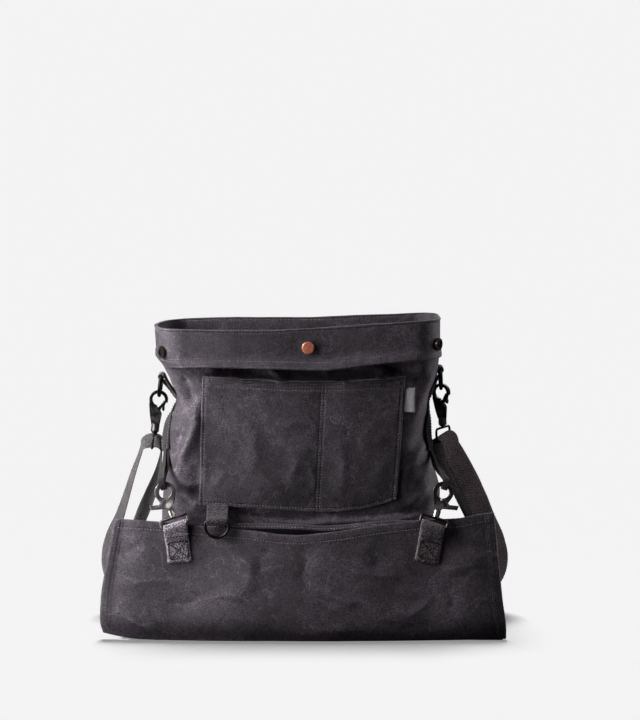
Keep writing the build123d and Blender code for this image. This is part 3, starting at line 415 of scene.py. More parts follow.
def band(tree, x, lo, hi):
    """0 below lo, 1 above hi, smooth between."""
    node = tree.nodes.new("ShaderNodeMapRange")
    node.interpolation_type = "SMOOTHSTEP"
    tree.links.new(x, node.inputs[0])
    node.inputs[1].default_value, node.inputs[2].default_value = lo, hi
    node.inputs[3].default_value, node.inputs[4].default_value = 0.0, 1.0
    return node.outputs[0]


def tint(tree, mode, fac, a, b):
    node = tree.nodes.new("ShaderNodeMix")
    node.data_type, node.blend_type = "RGBA", mode
    for k, v in ((0, fac), (6, a), (7, b)):
        if isinstance(v, bpy.types.NodeSocket):
            tree.links.new(v, node.inputs[k])
        else:
            node.inputs[k].default_value = (*v, 1) if isinstance(v, tuple) and len(v) == 3 else v
    return node.outputs[2]


def start(name, rough_value=0.7, metallic=0.0, specular=0.5):
    mat = bpy.data.materials.new(name)
    mat.use_nodes = True
    tree = mat.node_tree
    shader = tree.nodes["Principled BSDF"]
    shader.inputs["Roughness"].default_value = rough_value
    shader.inputs["Metallic"].default_value = metallic
    shader.inputs["Specular IOR Level"].default_value = specular
    return mat, tree, shader


def srgb(r, g, b):
    def lin(c):
        c /= 255.0
        return c / 12.92 if c <= 0.04045 else ((c + 0.055) / 1.055) ** 2.4

    return (lin(r), lin(g), lin(b))


def weave_height(tree, uv, across, along):
    """Height of a plain weave with the given thread spacings in metres."""
    part = put(tree, "ShaderNodeSeparateXYZ", {0: uv})
    su = calc(tree, "SINE", calc(tree, "MULTIPLY", part.outputs[0], math.pi / across))
    sv = calc(tree, "SINE", calc(tree, "MULTIPLY", part.outputs[1], math.pi / along))
    over = calc(tree, "MULTIPLY", su, sv)
    lift = calc(tree, "ABSOLUTE", over)
    turn = calc(tree, "MULTIPLY", over, 0.35)
    return calc(tree, "ADD", lift, turn)


def canvas(name, deep, mid, light, marks=1.0, seed=0.0, sheen=0.10, specular=0.32):
    """Waxed canvas: mottled wax, pale crease marks, fine weave and a low sheen."""
    mat, tree, shader = start(name, 0.66, specular=specular)
    where = put(tree, "ShaderNodeTexCoord").outputs["Object"]
    where = put(tree, "ShaderNodeVectorMath", {0: where, 1: (seed * 0.37, seed * 0.21, seed * 0.53)}, operation="ADD").outputs[0]
    uv = put(tree, "ShaderNodeUVMap", uv_map="cloth").outputs[0]
    cloud = put(tree, "ShaderNodeTexNoise", {"Vector": where, "Scale": 9.0, "Detail": 4.0, "Roughness": 0.55}).outputs[0]
    patch = put(tree, "ShaderNodeTexNoise", {"Vector": where, "Scale": 34.0, "Detail": 6.0, "Roughness": 0.68, "Distortion": 0.8}).outputs[0]
    grain = put(tree, "ShaderNodeTexNoise", {"Vector": where, "Scale": 420.0, "Detail": 3.0, "Roughness": 0.7}).outputs[0]
    blot = put(tree, "ShaderNodeTexNoise", {"Vector": where, "Scale": 105.0, "Detail": 4.0, "Roughness": 0.62, "Distortion": 0.5}).outputs[0]
    base = calc(tree, "ADD", calc(tree, "MULTIPLY", cloud, 0.52), calc(tree, "MULTIPLY", patch, 0.32))
    base = calc(tree, "ADD", base, calc(tree, "MULTIPLY", blot, 0.16))
    colour = ramp(tree, base, [(0.29, deep), (0.50, mid), (0.71, light)])
    # crease marks: thin lines where the wax has cracked, only in some places
    bend = put(tree, "ShaderNodeTexNoise", {"Vector": where, "Scale": 7.0, "Detail": 3.0, "Roughness": 0.6})
    shifted = put(tree, "ShaderNodeVectorMath", {0: bend.outputs["Color"], 1: (0.5, 0.5, 0.5)}, operation="SUBTRACT").outputs[0]
    shifted = put(tree, "ShaderNodeVectorMath", {0: shifted, 3: 0.16}, operation="SCALE").outputs[0]
    moved = put(tree, "ShaderNodeVectorMath", {0: where, 1: shifted}, operation="ADD").outputs[0]
    cells = put(tree, "ShaderNodeTexVoronoi", {"Vector": moved, "Scale": 17.0}, feature="DISTANCE_TO_EDGE").outputs[0]
    line = calc(tree, "SUBTRACT", 1.0, band(tree, cells, 0.004, 0.030))
    cells2 = put(tree, "ShaderNodeTexVoronoi", {"Vector": moved, "Scale": 43.0}, feature="DISTANCE_TO_EDGE").outputs[0]
    line2 = calc(tree, "SUBTRACT", 1.0, band(tree, cells2, 0.008, 0.055))
    some = put(tree, "ShaderNodeTexNoise", {"Vector": where, "Scale": 15.0, "Detail": 3.0, "Roughness": 0.6}).outputs[0]
    some = band(tree, some, 0.47, 0.64)
    broken = band(tree, grain, 0.36, 0.62)
    line = calc(tree, "MULTIPLY", calc(tree, "MULTIPLY", calc(tree, "ADD", line, calc(tree, "MULTIPLY", line2, 0.45)), some), broken)
    # soft veins where the wax has been worked pale by handling
    vein = put(tree, "ShaderNodeTexNoise", {"Vector": moved, "Scale": 13.0, "Detail": 2.5, "Roughness": 0.5, "Distortion": 1.1}).outputs[0]
    vein = calc(tree, "ABSOLUTE", calc(tree, "SUBTRACT", vein, 0.5))
    halo = calc(tree, "SUBTRACT", 1.0, band(tree, vein, 0.0, 0.045))
    thin = calc(tree, "SUBTRACT", 1.0, band(tree, vein, 0.002, 0.010))
    vein = calc(tree, "ADD", calc(tree, "MULTIPLY", halo, 0.55), calc(tree, "MULTIPLY", thin, 0.75))
    spread = put(tree, "ShaderNodeTexNoise", {"Vector": where, "Scale": 10.0, "Detail": 2.0, "Roughness": 0.5}).outputs[0]
    vein = calc(tree, "MULTIPLY", calc(tree, "MULTIPLY", vein, band(tree, spread, 0.44, 0.58)), band(tree, blot, 0.30, 0.60))
    # and short scratches between them
    far = put(tree, "ShaderNodeVectorMath", {0: moved, 1: (3.1, 1.7, 0.4)}, operation="ADD").outputs[0]
    nick = put(tree, "ShaderNodeTexNoise", {"Vector": far, "Scale": 24.0, "Detail": 2.0, "Roughness": 0.5, "Distortion": 0.9}).outputs[0]
    nick = calc(tree, "ABSOLUTE", calc(tree, "SUBTRACT", nick, 0.5))
    nick = calc(tree, "ADD", calc(tree, "SUBTRACT", 1.0, band(tree, nick, 0.002, 0.013)), calc(tree, "MULTIPLY", calc(tree, "SUBTRACT", 1.0, band(tree, nick, 0.0, 0.05)), 0.35))
    nick = calc(tree, "MULTIPLY", calc(tree, "MULTIPLY", nick, band(tree, spread, 0.52, 0.42)), band(tree, blot, 0.40, 0.62))
    speck = put(tree, "ShaderNodeTexNoise", {"Vector": where, "Scale": 1150.0, "Detail": 1.0, "Roughness": 0.6}).outputs[0]
    scuff = calc(tree, "MULTIPLY", band(tree, patch, 0.53, 0.68), band(tree, speck, 0.46, 0.66))
    rub = put(tree, "ShaderNodeAttribute", attribute_name="pale").outputs["Fac"]
    rub = calc(tree, "MULTIPLY", rub, calc(tree, "ADD", 0.35, broken))
    wear = calc(tree, "ADD", calc(tree, "MULTIPLY", line, 0.55 * marks), calc(tree, "MULTIPLY", rub, 0.95 * marks))
    wear = calc(tree, "ADD", wear, calc(tree, "MULTIPLY", nick, 0.42 * marks))
    wear = calc(tree, "ADD", wear, calc(tree, "MULTIPLY", scuff, 0.20 * marks))
    wear = calc(tree, "ADD", wear, calc(tree, "MULTIPLY", vein, 0.50 * marks), clamp=True)
    pale = tuple(min(1.0, c * 2.3 + 0.012) for c in mid)
    colour = tint(tree, "MIX", wear, colour, pale)
    # slub and grain of the yarn
    slub = put(tree, "ShaderNodeMapping", {"Vector": uv, "Scale": (900.0, 120.0, 1.0)}).outputs[0]
    slub = put(tree, "ShaderNodeTexNoise", {"Vector": slub, "Scale": 1.0, "Detail": 2.0}).outputs[0]
    slub2 = put(tree, "ShaderNodeMapping", {"Vector": uv, "Scale": (120.0, 900.0, 1.0)}).outputs[0]
    slub2 = put(tree, "ShaderNodeTexNoise", {"Vector": slub2, "Scale": 1.0, "Detail": 2.0}).outputs[0]
    yarn = calc(tree, "ADD", calc(tree, "MULTIPLY", slub, 0.5), calc(tree, "MULTIPLY", slub2, 0.5))
    shade = calc(tree, "ADD", calc(tree, "MULTIPLY", yarn, 1.5), calc(tree, "MULTIPLY", grain, 0.7))
    shade = calc(tree, "ADD", shade, calc(tree, "MULTIPLY", speck, 3.6))
    shade = calc(tree, "MAXIMUM", calc(tree, "SUBTRACT", shade, 1.9), 0.2)
    grey = put(tree, "ShaderNodeCombineColor", {0: shade, 1: shade, 2: shade}).outputs[0]
    colour = tint(tree, "MULTIPLY", 1.0, colour, grey)
    tree.links.new(colour, shader.inputs["Base Color"])
    tree.links.new(calc(tree, "ADD", calc(tree, "MULTIPLY", patch, 0.30), 0.46), shader.inputs["Roughness"])
    shader.inputs["Sheen Weight"].default_value = sheen
    shader.inputs["Sheen Roughness"].default_value = 0.45
    shader.inputs["Sheen Tint"].default_value = (0.9, 0.88, 0.9, 1)
    cloth = weave_height(tree, uv, 0.00075, 0.00075)
    high = calc(tree, "ADD", calc(tree, "MULTIPLY", cloth, 0.16), calc(tree, "MULTIPLY", yarn, 0.55))
    high = calc(tree, "ADD", high, calc(tree, "MULTIPLY", grain, 0.45))
    high = calc(tree, "ADD", high, calc(tree, "MULTIPLY", patch, 1.1))
    high = calc(tree, "SUBTRACT", high, calc(tree, "MULTIPLY", line, 0.5))
    bump = put(tree, "ShaderNodeBump", {"Height": high, "Strength": 0.55, "Distance": 0.0009}).outputs[0]
    tree.links.new(bump, shader.inputs["Normal"])
    return mat


def webbing(name, deep, mid, light, rib=0.0021, seed=0.0, coarse=0.0, twill=0.30):
    """Cotton webbing: slanting ribs that turn at the middle, selvedges and dusty high spots."""
    mat, tree, shader = start(name, 0.8, specular=0.25)
    where = put(tree, "ShaderNodeTexCoord").outputs["Object"]
    where = put(tree, "ShaderNodeVectorMath", {0: where, 1: (seed, seed * 0.7, seed * 0.4)}, operation="ADD").outputs[0]
    uv = put(tree, "ShaderNodeUVMap", uv_map="cloth").outputs[0]
    part = put(tree, "ShaderNodeSeparateXYZ", {0: uv})
    u, v = part.outputs[0], part.outputs[1]
    fold = calc(tree, "PINGPONG", u, 0.004)
    stir = put(tree, "ShaderNodeTexNoise", {"Vector": where, "Scale": 300.0, "Detail": 2.0}).outputs[0]
    slant = calc(tree, "ADD", v, calc(tree, "MULTIPLY", fold, 0.9))
    slant = calc(tree, "ADD", slant, calc(tree, "MULTIPLY", stir, 0.0011))
    ribs = calc(tree, "SINE", calc(tree, "MULTIPLY", slant, TAU / rib))
    ends = calc(tree, "SINE", calc(tree, "MULTIPLY", u, TAU / 0.0011))
    knit = calc(tree, "ADD", calc(tree, "MULTIPLY", ribs, 0.6), calc(tree, "MULTIPLY", ends, 0.22))
    grain = put(tree, "ShaderNodeTexNoise", {"Vector": where, "Scale": 520.0, "Detail": 3.0, "Roughness": 0.7}).outputs[0]
    patch = put(tree, "ShaderNodeTexNoise", {"Vector": where, "Scale": 40.0, "Detail": 5.0, "Roughness": 0.6}).outputs[0]
    mixv = calc(tree, "ADD", calc(tree, "MULTIPLY", knit, twill), calc(tree, "MULTIPLY", patch, 0.5))
    mixv = calc(tree, "ADD", mixv, calc(tree, "MULTIPLY", grain, 0.5))
    knots = put(tree, "ShaderNodeTexVoronoi", {"Vector": where, "Scale": 620.0, "Randomness": 0.9}, feature="F1").outputs[0]
    knots = calc(tree, "SUBTRACT", 0.45, knots)
    mixv = calc(tree, "ADD", mixv, calc(tree, "MULTIPLY", knots, coarse))
    colour = ramp(tree, mixv, [(0.25, deep), (0.52, mid), (0.78, light)])
    rub = put(tree, "ShaderNodeAttribute", attribute_name="pale").outputs["Fac"]
    rub = calc(tree, "MULTIPLY", rub, band(tree, grain, 0.3, 0.65))
    colour = tint(tree, "MIX", calc(tree, "MULTIPLY", rub, 0.6), colour, tuple(c * 1.7 for c in light))
    tree.links.new(colour, shader.inputs["Base Color"])
    tree.links.new(calc(tree, "ADD", calc(tree, "MULTIPLY", grain, 0.25), 0.66), shader.inputs["Roughness"])
    shader.inputs["Sheen Weight"].default_value = 0.2
    shader.inputs["Sheen Roughness"].default_value = 0.5
    high = calc(tree, "ADD", calc(tree, "MULTIPLY", knit, 2.7 * twill), calc(tree, "MULTIPLY", grain, 0.6))
    high = calc(tree, "ADD", high, calc(tree, "MULTIPLY", knots, 2.5 * coarse))
    bump = put(tree, "ShaderNodeBump", {"Height": high, "Strength": 0.85, "Distance": 0.0007}).outputs[0]
    tree.links.new(bump, shader.inputs["Normal"])
    return mat


def metal(name, deep, light, worn, rough_lo, rough_hi, edge=0.5, metallic=1.0, specular=0.5):
    """Plated cast metal: blotchy plating, fine pits, scratches, and bare metal on worn edges."""
    mat, tree, shader = start(name, 0.4, metallic, specular)
    where = put(tree, "ShaderNodeTexCoord").outputs["Object"]
    blotch = put(tree, "ShaderNodeTexNoise", {"Vector": where, "Scale": 160.0, "Detail": 6.0, "Roughness": 0.65}).outputs[0]
    pits = put(tree, "ShaderNodeTexNoise", {"Vector": where, "Scale": 1400.0, "Detail": 2.0}).outputs[0]
    drawn = put(tree, "ShaderNodeMapping", {"Vector": where, "Rotation": (0.5, 0.9, 0.3), "Scale": (2600.0, 140.0, 900.0)}).outputs[0]
    scratch = put(tree, "ShaderNodeTexNoise", {"Vector": drawn, "Scale": 1.0, "Detail": 2.0}).outputs[0]
    scratch = band(tree, scratch, 0.62, 0.74)
    colour = ramp(tree, blotch, [(0.3, deep), (0.7, light)])
    point = put(tree, "ShaderNodeNewGeometry").outputs["Pointiness"]
    rim = calc(tree, "MULTIPLY", band(tree, point, 0.505, 0.58), band(tree, blotch, 0.35, 0.6))
    rim = calc(tree, "MULTIPLY", rim, edge)
    rim = calc(tree, "ADD", rim, calc(tree, "MULTIPLY", scratch, 0.25 * edge), clamp=True)
    colour = tint(tree, "MIX", rim, colour, worn)
    tree.links.new(colour, shader.inputs["Base Color"])
    r = calc(tree, "ADD", calc(tree, "MULTIPLY", blotch, rough_hi - rough_lo), rough_lo)
    tree.links.new(calc(tree, "SUBTRACT", r, calc(tree, "MULTIPLY", scratch, 0.05)), shader.inputs["Roughness"])
    high = calc(tree, "ADD", calc(tree, "MULTIPLY", pits, 0.4), calc(tree, "MULTIPLY", blotch, 0.8))
    high = calc(tree, "SUBTRACT", high, calc(tree, "MULTIPLY", scratch, 0.3))
    bump = put(tree, "ShaderNodeBump", {"Height": high, "Strength": 0.25, "Distance": 0.0002}).outputs[0]
    tree.links.new(bump, shader.inputs["Normal"])
    return mat


def thread(name, dark, light):
    mat, tree, shader = start(name, 0.62, specular=0.3)
    uv = put(tree, "ShaderNodeUVMap", uv_map="cloth").outputs[0]
    part = put(tree, "ShaderNodeSeparateXYZ", {0: uv})
    ply = calc(tree, "ADD", calc(tree, "MULTIPLY", part.outputs[1], 1.0), calc(tree, "MULTIPLY", part.outputs[0], 1.3))
    ply = calc(tree, "SINE", calc(tree, "MULTIPLY", ply, TAU / 0.0005))
    each = put(tree, "ShaderNodeAttribute", attribute_name="pale").outputs["Fac"]
    where = put(tree, "ShaderNodeTexCoord").outputs["Object"]
    fuzz = put(tree, "ShaderNodeTexNoise", {"Vector": where, "Scale": 130.0, "Detail": 3.0}).outputs[0]
    mixv = calc(tree, "ADD", calc(tree, "MULTIPLY", each, 0.5), calc(tree, "MULTIPLY", ply, 0.12))
    mixv = calc(tree, "ADD", mixv, calc(tree, "MULTIPLY", fuzz, 0.4))
    tree.links.new(ramp(tree, mixv, [(0.15, dark), (0.8, light)]), shader.inputs["Base Color"])
    shader.inputs["Sheen Weight"].default_value = 0.2
    bump = put(tree, "ShaderNodeBump", {"Height": ply, "Strength": 0.5, "Distance": 0.0002}).outputs[0]
    tree.links.new(bump, shader.inputs["Normal"])
    return mat


CANVAS = canvas("waxed_canvas", srgb(44, 40, 45), srgb(70, 64, 71), srgb(98, 91, 99))
# near-black canvas without sheen, for the sheet inside the flap's mouth: painted shade
PAINTED_SHADE_CANVAS = canvas("painted_shade_canvas", srgb(9, 8, 9), srgb(14, 13, 14), srgb(21, 19, 20), marks=0.1, seed=3.0, sheen=0.0, specular=0.04)
WEBBING = webbing("cotton_webbing", srgb(34, 30, 32), srgb(72, 67, 70), srgb(112, 106, 109), rib=0.0031, coarse=0.3, twill=0.2)
TAB_WEB = webbing("tab_webbing", srgb(52, 46, 50), srgb(112, 102, 108), srgb(166, 155, 161), rib=0.0030, seed=1.7, coarse=0.4, twill=0.10)
# a lighter copy of the tab webbing for the left flap tab: painted light, on the side the lamp lights
PAINTED_LIGHT_TAB_WEB = webbing("painted_light_tab_webbing", srgb(68, 62, 68), srgb(141, 132, 141), srgb(200, 191, 200), rib=0.0030, seed=1.1, coarse=0.6, twill=0.10)
TOOL_WEB = webbing("tool_webbing", srgb(22, 19, 22), srgb(54, 48, 54), srgb(92, 84, 92), rib=0.0030, seed=4.3, coarse=0.8, twill=0.16)
# near-black webbing for the side strips and flap loops, which sit in shade: painted shade
PAINTED_SHADE_WEB = webbing("painted_shade_webbing", srgb(18, 16, 17), srgb(35, 31, 33), srgb(60, 55, 57), rib=0.0022, seed=2.9)
BLACK = metal("black_plate", srgb(26, 25, 26), srgb(50, 48, 49), srgb(140, 136, 132), 0.22, 0.42, 0.6)
GUNMETAL = metal("gunmetal", srgb(62, 60, 61), srgb(106, 103, 103), srgb(206, 202, 199), 0.22, 0.40, 0.8)
# a darker copy of the gunmetal for the right flap hook: painted shade
PAINTED_SHADE_GUNMETAL = metal("painted_shade_gunmetal", srgb(40, 38, 39), srgb(66, 63, 64), srgb(150, 146, 144), 0.22, 0.38, 0.8)
RIVET = metal("bright_rivet", srgb(160, 156, 152), srgb(206, 202, 198), srgb(235, 232, 228), 0.28, 0.5, 0.6)
COPPER = metal("antique_copper", srgb(154, 86, 66), srgb(188, 116, 94), srgb(226, 164, 138), 0.28, 0.44, 0.6, metallic=0.6)
ANTIQUE = metal("dark_brass", srgb(32, 28, 28), srgb(56, 50, 48), srgb(104, 94, 86), 0.32, 0.52, 0.5)
STEEL = metal("spring_steel", srgb(130, 130, 132), srgb(170, 170, 172), srgb(210, 210, 212), 0.2, 0.35, 0.5)
THREAD = thread("grey_thread", srgb(98, 92, 97), srgb(164, 157, 162))
TAB_THREAD = thread("dark_thread", srgb(14, 12, 13), srgb(34, 30, 32))

# ------------------------------------------------------------------------------- the flap's frame
LEAN = math.radians(5.0)
SU, CU = math.sin(LEAN), math.cos(LEAN)


def flap_xyz(x, u, n):
    """A point on the flap: across, up along it, and out from its outer face."""
    x, u, n = np.broadcast_arrays(np.asarray(x, float), np.asarray(u, float), np.asarray(n, float))
    return np.stack([x, -82.0 + SU * u - CU * n, CU * u + SU * n], -1)


# ------------------------------------------------------------------------------- body of the bag
BODY = {
    "fl": [(0, -168), (8, -184), (20, -190), (50, -168), (85, -153), (108, -149), (122, -148.5), (140, -147.5), (150, -146), (162, -144.5), (178, -143.5), (193, -142.5), (214, -138.5), (240, -132), (258, -136.5), (270, -138.5), (285, -146)],
    "fr": [(0, 203), (20, 194), (50, 168), (85, 147), (108, 140.5), (125, 140.5), (141, 139), (172, 133), (204, 126), (235, 128.5), (258, 134), (272, 136.5), (285, 137.5)],
    "bl": [(0, -125), (60, -131), (110, -142), (130, -142.5), (172, -140), (214, -135), (240, -131), (270, -139), (285, -146)],
    "br": [(0, 125), (60, 129), (110, 135), (130, 136), (172, 132), (240, 127), (270, 135), (285, 137.5)],
    "yf": [(0, -69), (30, -65), (60, -60.5), (100, -55.5), (126, -53.5), (172, -53), (240, -52.5), (262, -52.2), (276, -53.6), (285, -55.5)],
    "yb": [(0, 45), (60, 47), (126, 49), (172, 50.5), (240, 47.5), (270, 47), (285, 48.4)],
    "rf": [(0, 5), (30, 14), (60, 24), (100, 30), (126, 34), (172, 38), (240, 33), (285, 26)],
    "rb": [(0, 22), (60, 32), (126, 38), (172, 42), (240, 36), (285, 26)],
}
COUNTS = (112, 14, 34, 14, 84, 14, 34, 14)  # front, corner, right, corner, back, corner, left, corner


def rounded_loop(fl, fr, bl, br, yf, yb, rf, rb):
    """Points round a soft four-cornered outline for arrays of heights: (len(z), sum(COUNTS), 2).
    Starts at the front's left end and goes to the right, round the back and home."""
    corner = [np.stack([fl, yf], -1), np.stack([fr, yf], -1), np.stack([br, yb], -1), np.stack([bl, yb], -1)]
    reach = [rf, rf, rb, rb]
    ends = []
    for k in range(4):
        a, b = corner[k], corner[(k + 1) % 4]
        d = unit(b - a)
        ends.append((a + d * reach[k][:, None], b - d * reach[(k + 1) % 4][:, None]))
    rows = []
    for k in range(4):
        a, b = ends[k]
        n = COUNTS[2 * k]
        t = np.arange(n) / n
        rows.append(a[:, None] * (1 - t)[None, :, None] + b[:, None] * t[None, :, None])
        n = COUNTS[2 * k + 1]
        t = (np.arange(n) / n)[None, :, None]
        c, e = corner[(k + 1) % 4][:, None], ends[(k + 1) % 4][0][:, None]
        b = b[:, None]
        # between a quarter circle and its corner, so that the fabric turns softly
        rows.append(b * (1 - t) ** 3 + (b + (c - b) * 0.56) * 3 * t * (1 - t) ** 2 + (e + (c - e) * 0.56) * 3 * t * t * (1 - t) + e * t**3)
    return np.concatenate(rows, 1)


def body_loop(z):
    return rounded_loop(*[curve(BODY[k], z) for k in ("fl", "fr", "bl", "br", "yf", "yb", "rf", "rb")])


def hollow(x, z):
    """How far the front is drawn in under the rim's hem."""
    return 21.0 * np.exp(-(((z - 270.5) / 8.5) ** 2)) * smooth(-104, -66, x) * smooth(124, 94, x)


BODY_Z = np.concatenate([np.linspace(2.4, 118, 46), np.linspace(120.2, 284, 76)])
loop = body_loop(BODY_Z)
body_p = np.concatenate([loop, np.broadcast_to(BODY_Z[:, None, None], loop.shape[:2] + (1,))], -1).transpose(1, 0, 2)
body_n = grid_normals(body_p, wrap_u=True)
X, Y, Z = body_p[..., 0], body_p[..., 1], body_p[..., 2]
facing = np.clip(-body_n[..., 1], 0, 1)
sideways = np.clip(np.abs(body_n[..., 0]), 0, 1)
backing = np.clip(body_n[..., 1], 0, 1)
front_folds = [
    # left of the pocket: a sharp tuck from the rim's corner, and the ridges under it
    ([(-141, 279), (-132, 257), (-121, 238), (-110, 218)], 3.4, 6.0),
    ([(-124, 272), (-115, 250), (-108, 236)], 6.0, -5.0),
    ([(-138, 252), (-129, 236), (-119, 221)], 5.0, -5.5),
    ([(-104, 252), (-109, 232), (-107, 217), (-115, 197), (-123, 184), (-127, 162)], 3.8, 5.4),
    ([(-119, 214), (-128, 196), (-135, 178)], 6.0, -5.0),
    ([(-133, 176), (-121, 158), (-109, 147)], 4.2, 4.8),
    ([(-134, 152), (-123, 139), (-111, 130)], 6.5, -6.5),
    ([(-110, 178), (-107, 156)], 4.0, -3.4),
    ([(-138, 206), (-128, 210), (-118, 204)], 3.6, 3.2),
    ([(-127, 243), (-118, 229), (-108, 215)], 1.4, 2.4),
    ([(-108, 226), (-114, 206), (-122, 188)], 1.4, 2.2),
    ([(-118, 196), (-124, 176), (-126, 160)], 1.4, 2.2),
    ([(-131, 166), (-121, 154), (-111, 147)], 1.4, 2.0),
    # under the pocket
    ([(-112, 127), (-70, 124), (-20, 119), (20, 117)], 4.0, -3.0),
    ([(-60, 121), (0, 115.5), (50, 118), (90, 124), (118, 134)], 3.0, 3.6),
    ([(30, 122), (70, 121.5), (100, 127), (121, 134)], 2.6, -3.0),
    ([(64, 114), (96, 119), (122, 127)], 3.0, 3.0),
    # right of the pocket
    ([(135, 274), (124, 252), (116, 232), (108, 213)], 3.4, 3.6),
    ([(127, 264), (114, 257), (104, 259)], 4.4, -3.2),
    ([(127, 228), (118, 207), (109, 186)], 6.0, -3.0),
    ([(128, 202), (116, 187), (106, 164)], 4.2, 3.2),
    ([(129, 177), (118, 162), (104, 150)], 6.0, -3.2),
    ([(130, 153), (116, 142), (104, 134)], 4.2, 3.4),
    ([(129, 141), (114, 130), (98, 122)], 5.0, -4.6),
    # under the rim
    ([(-105, 272), (-40, 268), (30, 267), (92, 272)], 4.5, -3.0),
    ([(-66, 279), (-36, 271), (-12, 262)], 3.4, 13.0),
    ([(34, 278), (58, 271), (94, 266)], 3.2, 13.0),
    ([(8, 277), (22, 271), (26, 262)], 3.0, 8.0),
    ([(-100, 275), (-84, 271), (-60, 268)], 3.2, 9.0),
]
relief, pale = folds(X, Z, front_folds, 1)
relief *= facing * (1 + 0.10 * smooth(-100, -110, X))
# fold crests are paler where the wax is worn; left of the pocket that paleness is nearly doubled, partly painted
# highlight on the side the lamp lights
pale = np.clip(pale * facing * (1 + 0.9 * smooth(-100, -110, X)), 0, 1)
side_folds = [
    ([(-34, 262), (-12, 232), (2, 206), (8, 172)], 8.0, -3.6),
    ([(36, 262), (16, 236), (6, 214), (-6, 190)], 8.0, -3.2),
    ([(-30, 180), (-6, 150), (14, 122), (20, 92)], 8.0, 2.6),
    ([(38, 186), (18, 152), (2, 124), (-10, 96)], 8.0, -2.8),
    ([(-46, 96), (-20, 76), (16, 64), (40, 50)], 9.0, 2.8),
    ([(-40, 60), (-6, 44), (28, 30)], 8.0, -2.6),
    ([(30, 120), (20, 84), (26, 40)], 7.0, 2.0),
]
r2, p2 = folds(Y + np.sign(X) * 3.0, Z + np.sign(X) * 5.0, side_folds, 5)
relief += r2 * sideways
pale = np.maximum(pale, p2 * sideways)
back_folds = [
    ([(-128, 262), (-96, 224), (-80, 180)], 8.0, -3.0),
    ([(120, 262), (92, 226), (70, 190)], 8.0, -2.8),
    ([(-110, 120), (-60, 96), (0, 90), (70, 98), (116, 126)], 9.0, -3.0),
    ([(-96, 70), (-30, 54), (50, 56), (100, 74)], 9.0, 2.6),
    ([(-40, 250), (-24, 200), (-34, 150)], 11.0, 1.8),
    ([(50, 240), (34, 196), (46, 146)], 11.0, -1.8),
    ([(-120, 160), (-80, 146), (-30, 150)], 8.0, 2.4),
    ([(118, 170), (76, 150), (24, 152)], 8.0, 2.2),
]
r3, p3 = folds(X, Z, back_folds, 9)
relief += r3 * backing
pale = np.maximum(pale, p3 * backing)
loose = smooth(284, 258, Z)
relief = relief * loose + 1.5 * rough(body_p, 64, 21, 3) * loose + 0.35 * rough(body_p, 17, 22, 2) * loose
relief -= facing * hollow(X, Z)
relief += 2.0 * facing * np.sin(np.pi * np.clip((Z - 124) / 140, 0, 1)) * np.exp(-((X / 110) ** 2))
relief += 3.5 * backing * np.sin(np.pi * np.clip((Z - 60) / 210, 0, 1))
relief += 6.0 * np.clip(-body_n[..., 0], 0, 1) * smooth(246, 280, Z) * np.cos(np.pi / 2 * np.clip((Y + 4) / 40, -1, 1)) ** 2
# side seams, felled: a narrow raised strip
seam_d = np.abs(Y + 4.0)
relief += 0.8 * sideways * smooth(6.5, 5.0, seam_d) - 0.5 * sideways * np.exp(-(((seam_d - 4.2) / 0.9) ** 2))
body_p = body_p + body_n * relief[..., None]
body_n = grid_normals(body_p, wrap_u=True)
b = Build()
sheet_shell(b, body_p, 1.8, wrap_u=True, pale=pale, normals=body_n)
body = b.done("body_canvas", CANVAS)
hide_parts("front_panel", "back_panel")
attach(body, "bag")
body_face = Face(body_p, body_n, wrap=True)
front_at = COUNTS[0]


def body_column(x_want, j):
    """Column on the front of the body nearest an x, at row j."""
    xs = body_p[:front_at, j, 0]
    return np.interp(x_want, xs, np.arange(front_at))


def body_front_y(x, z):
    """y of the body's front face at x and z arrays."""
    j = np.interp(z, BODY_Z, np.arange(len(BODY_Z)))
    jr = np.clip(np.round(j).astype(int), 0, len(BODY_Z) - 1)
    xs = body_p[:front_at, :, 0]
    out = np.empty(np.shape(x))
    flat_x, flat_j, flat_o = np.ravel(x), np.ravel(jr), out.reshape(-1)
    for row in np.unique(flat_j):
        hit = flat_j == row
        flat_o[hit] = np.interp(flat_x[hit], xs[:, row], body_p[:front_at, row, 1])
    return out


def body_side(z, y, side):
    """Point and outward normal on the body's left or right face at arrays of heights and depths."""
    first = sum(COUNTS[:2]) - 6 if side > 0 else sum(COUNTS[:6]) - 6
    last = first + COUNTS[2] + 12
    jj = np.interp(z, BODY_Z, np.arange(len(BODY_Z)))
    cols = np.arange(first, last) % body_p.shape[0]
    pts, nrm = [], []
    for zz, yy, j in zip(np.ravel(z), np.ravel(y), np.ravel(jj)):
        p, n = body_face.at(cols.astype(float), np.full(len(cols), j))
        order = np.argsort(p[:, 1])
        c = np.interp(yy, p[order, 1], np.arange(len(cols))[order]) if side > 0 else np.interp(yy, p[order, 1], np.arange(len(cols))[order].astype(float))
        k = min(max(int(c), 0), len(cols) - 2)
        f = c - k
        pts.append(p[k] * (1 - f) + p[k + 1] * f)
        nrm.append(unit(n[k] * (1 - f) + n[k + 1] * f))
    return np.array(pts), np.array(nrm)


for side in (-1, 1):
    for dy in (-4.2, 4.2):
        zz = np.linspace(20, 270, 110)
        pts, nrm = body_side(zz, np.full(zz.shape, -4.0 + dy), side)
        bag_thread.row(pts, nrm)

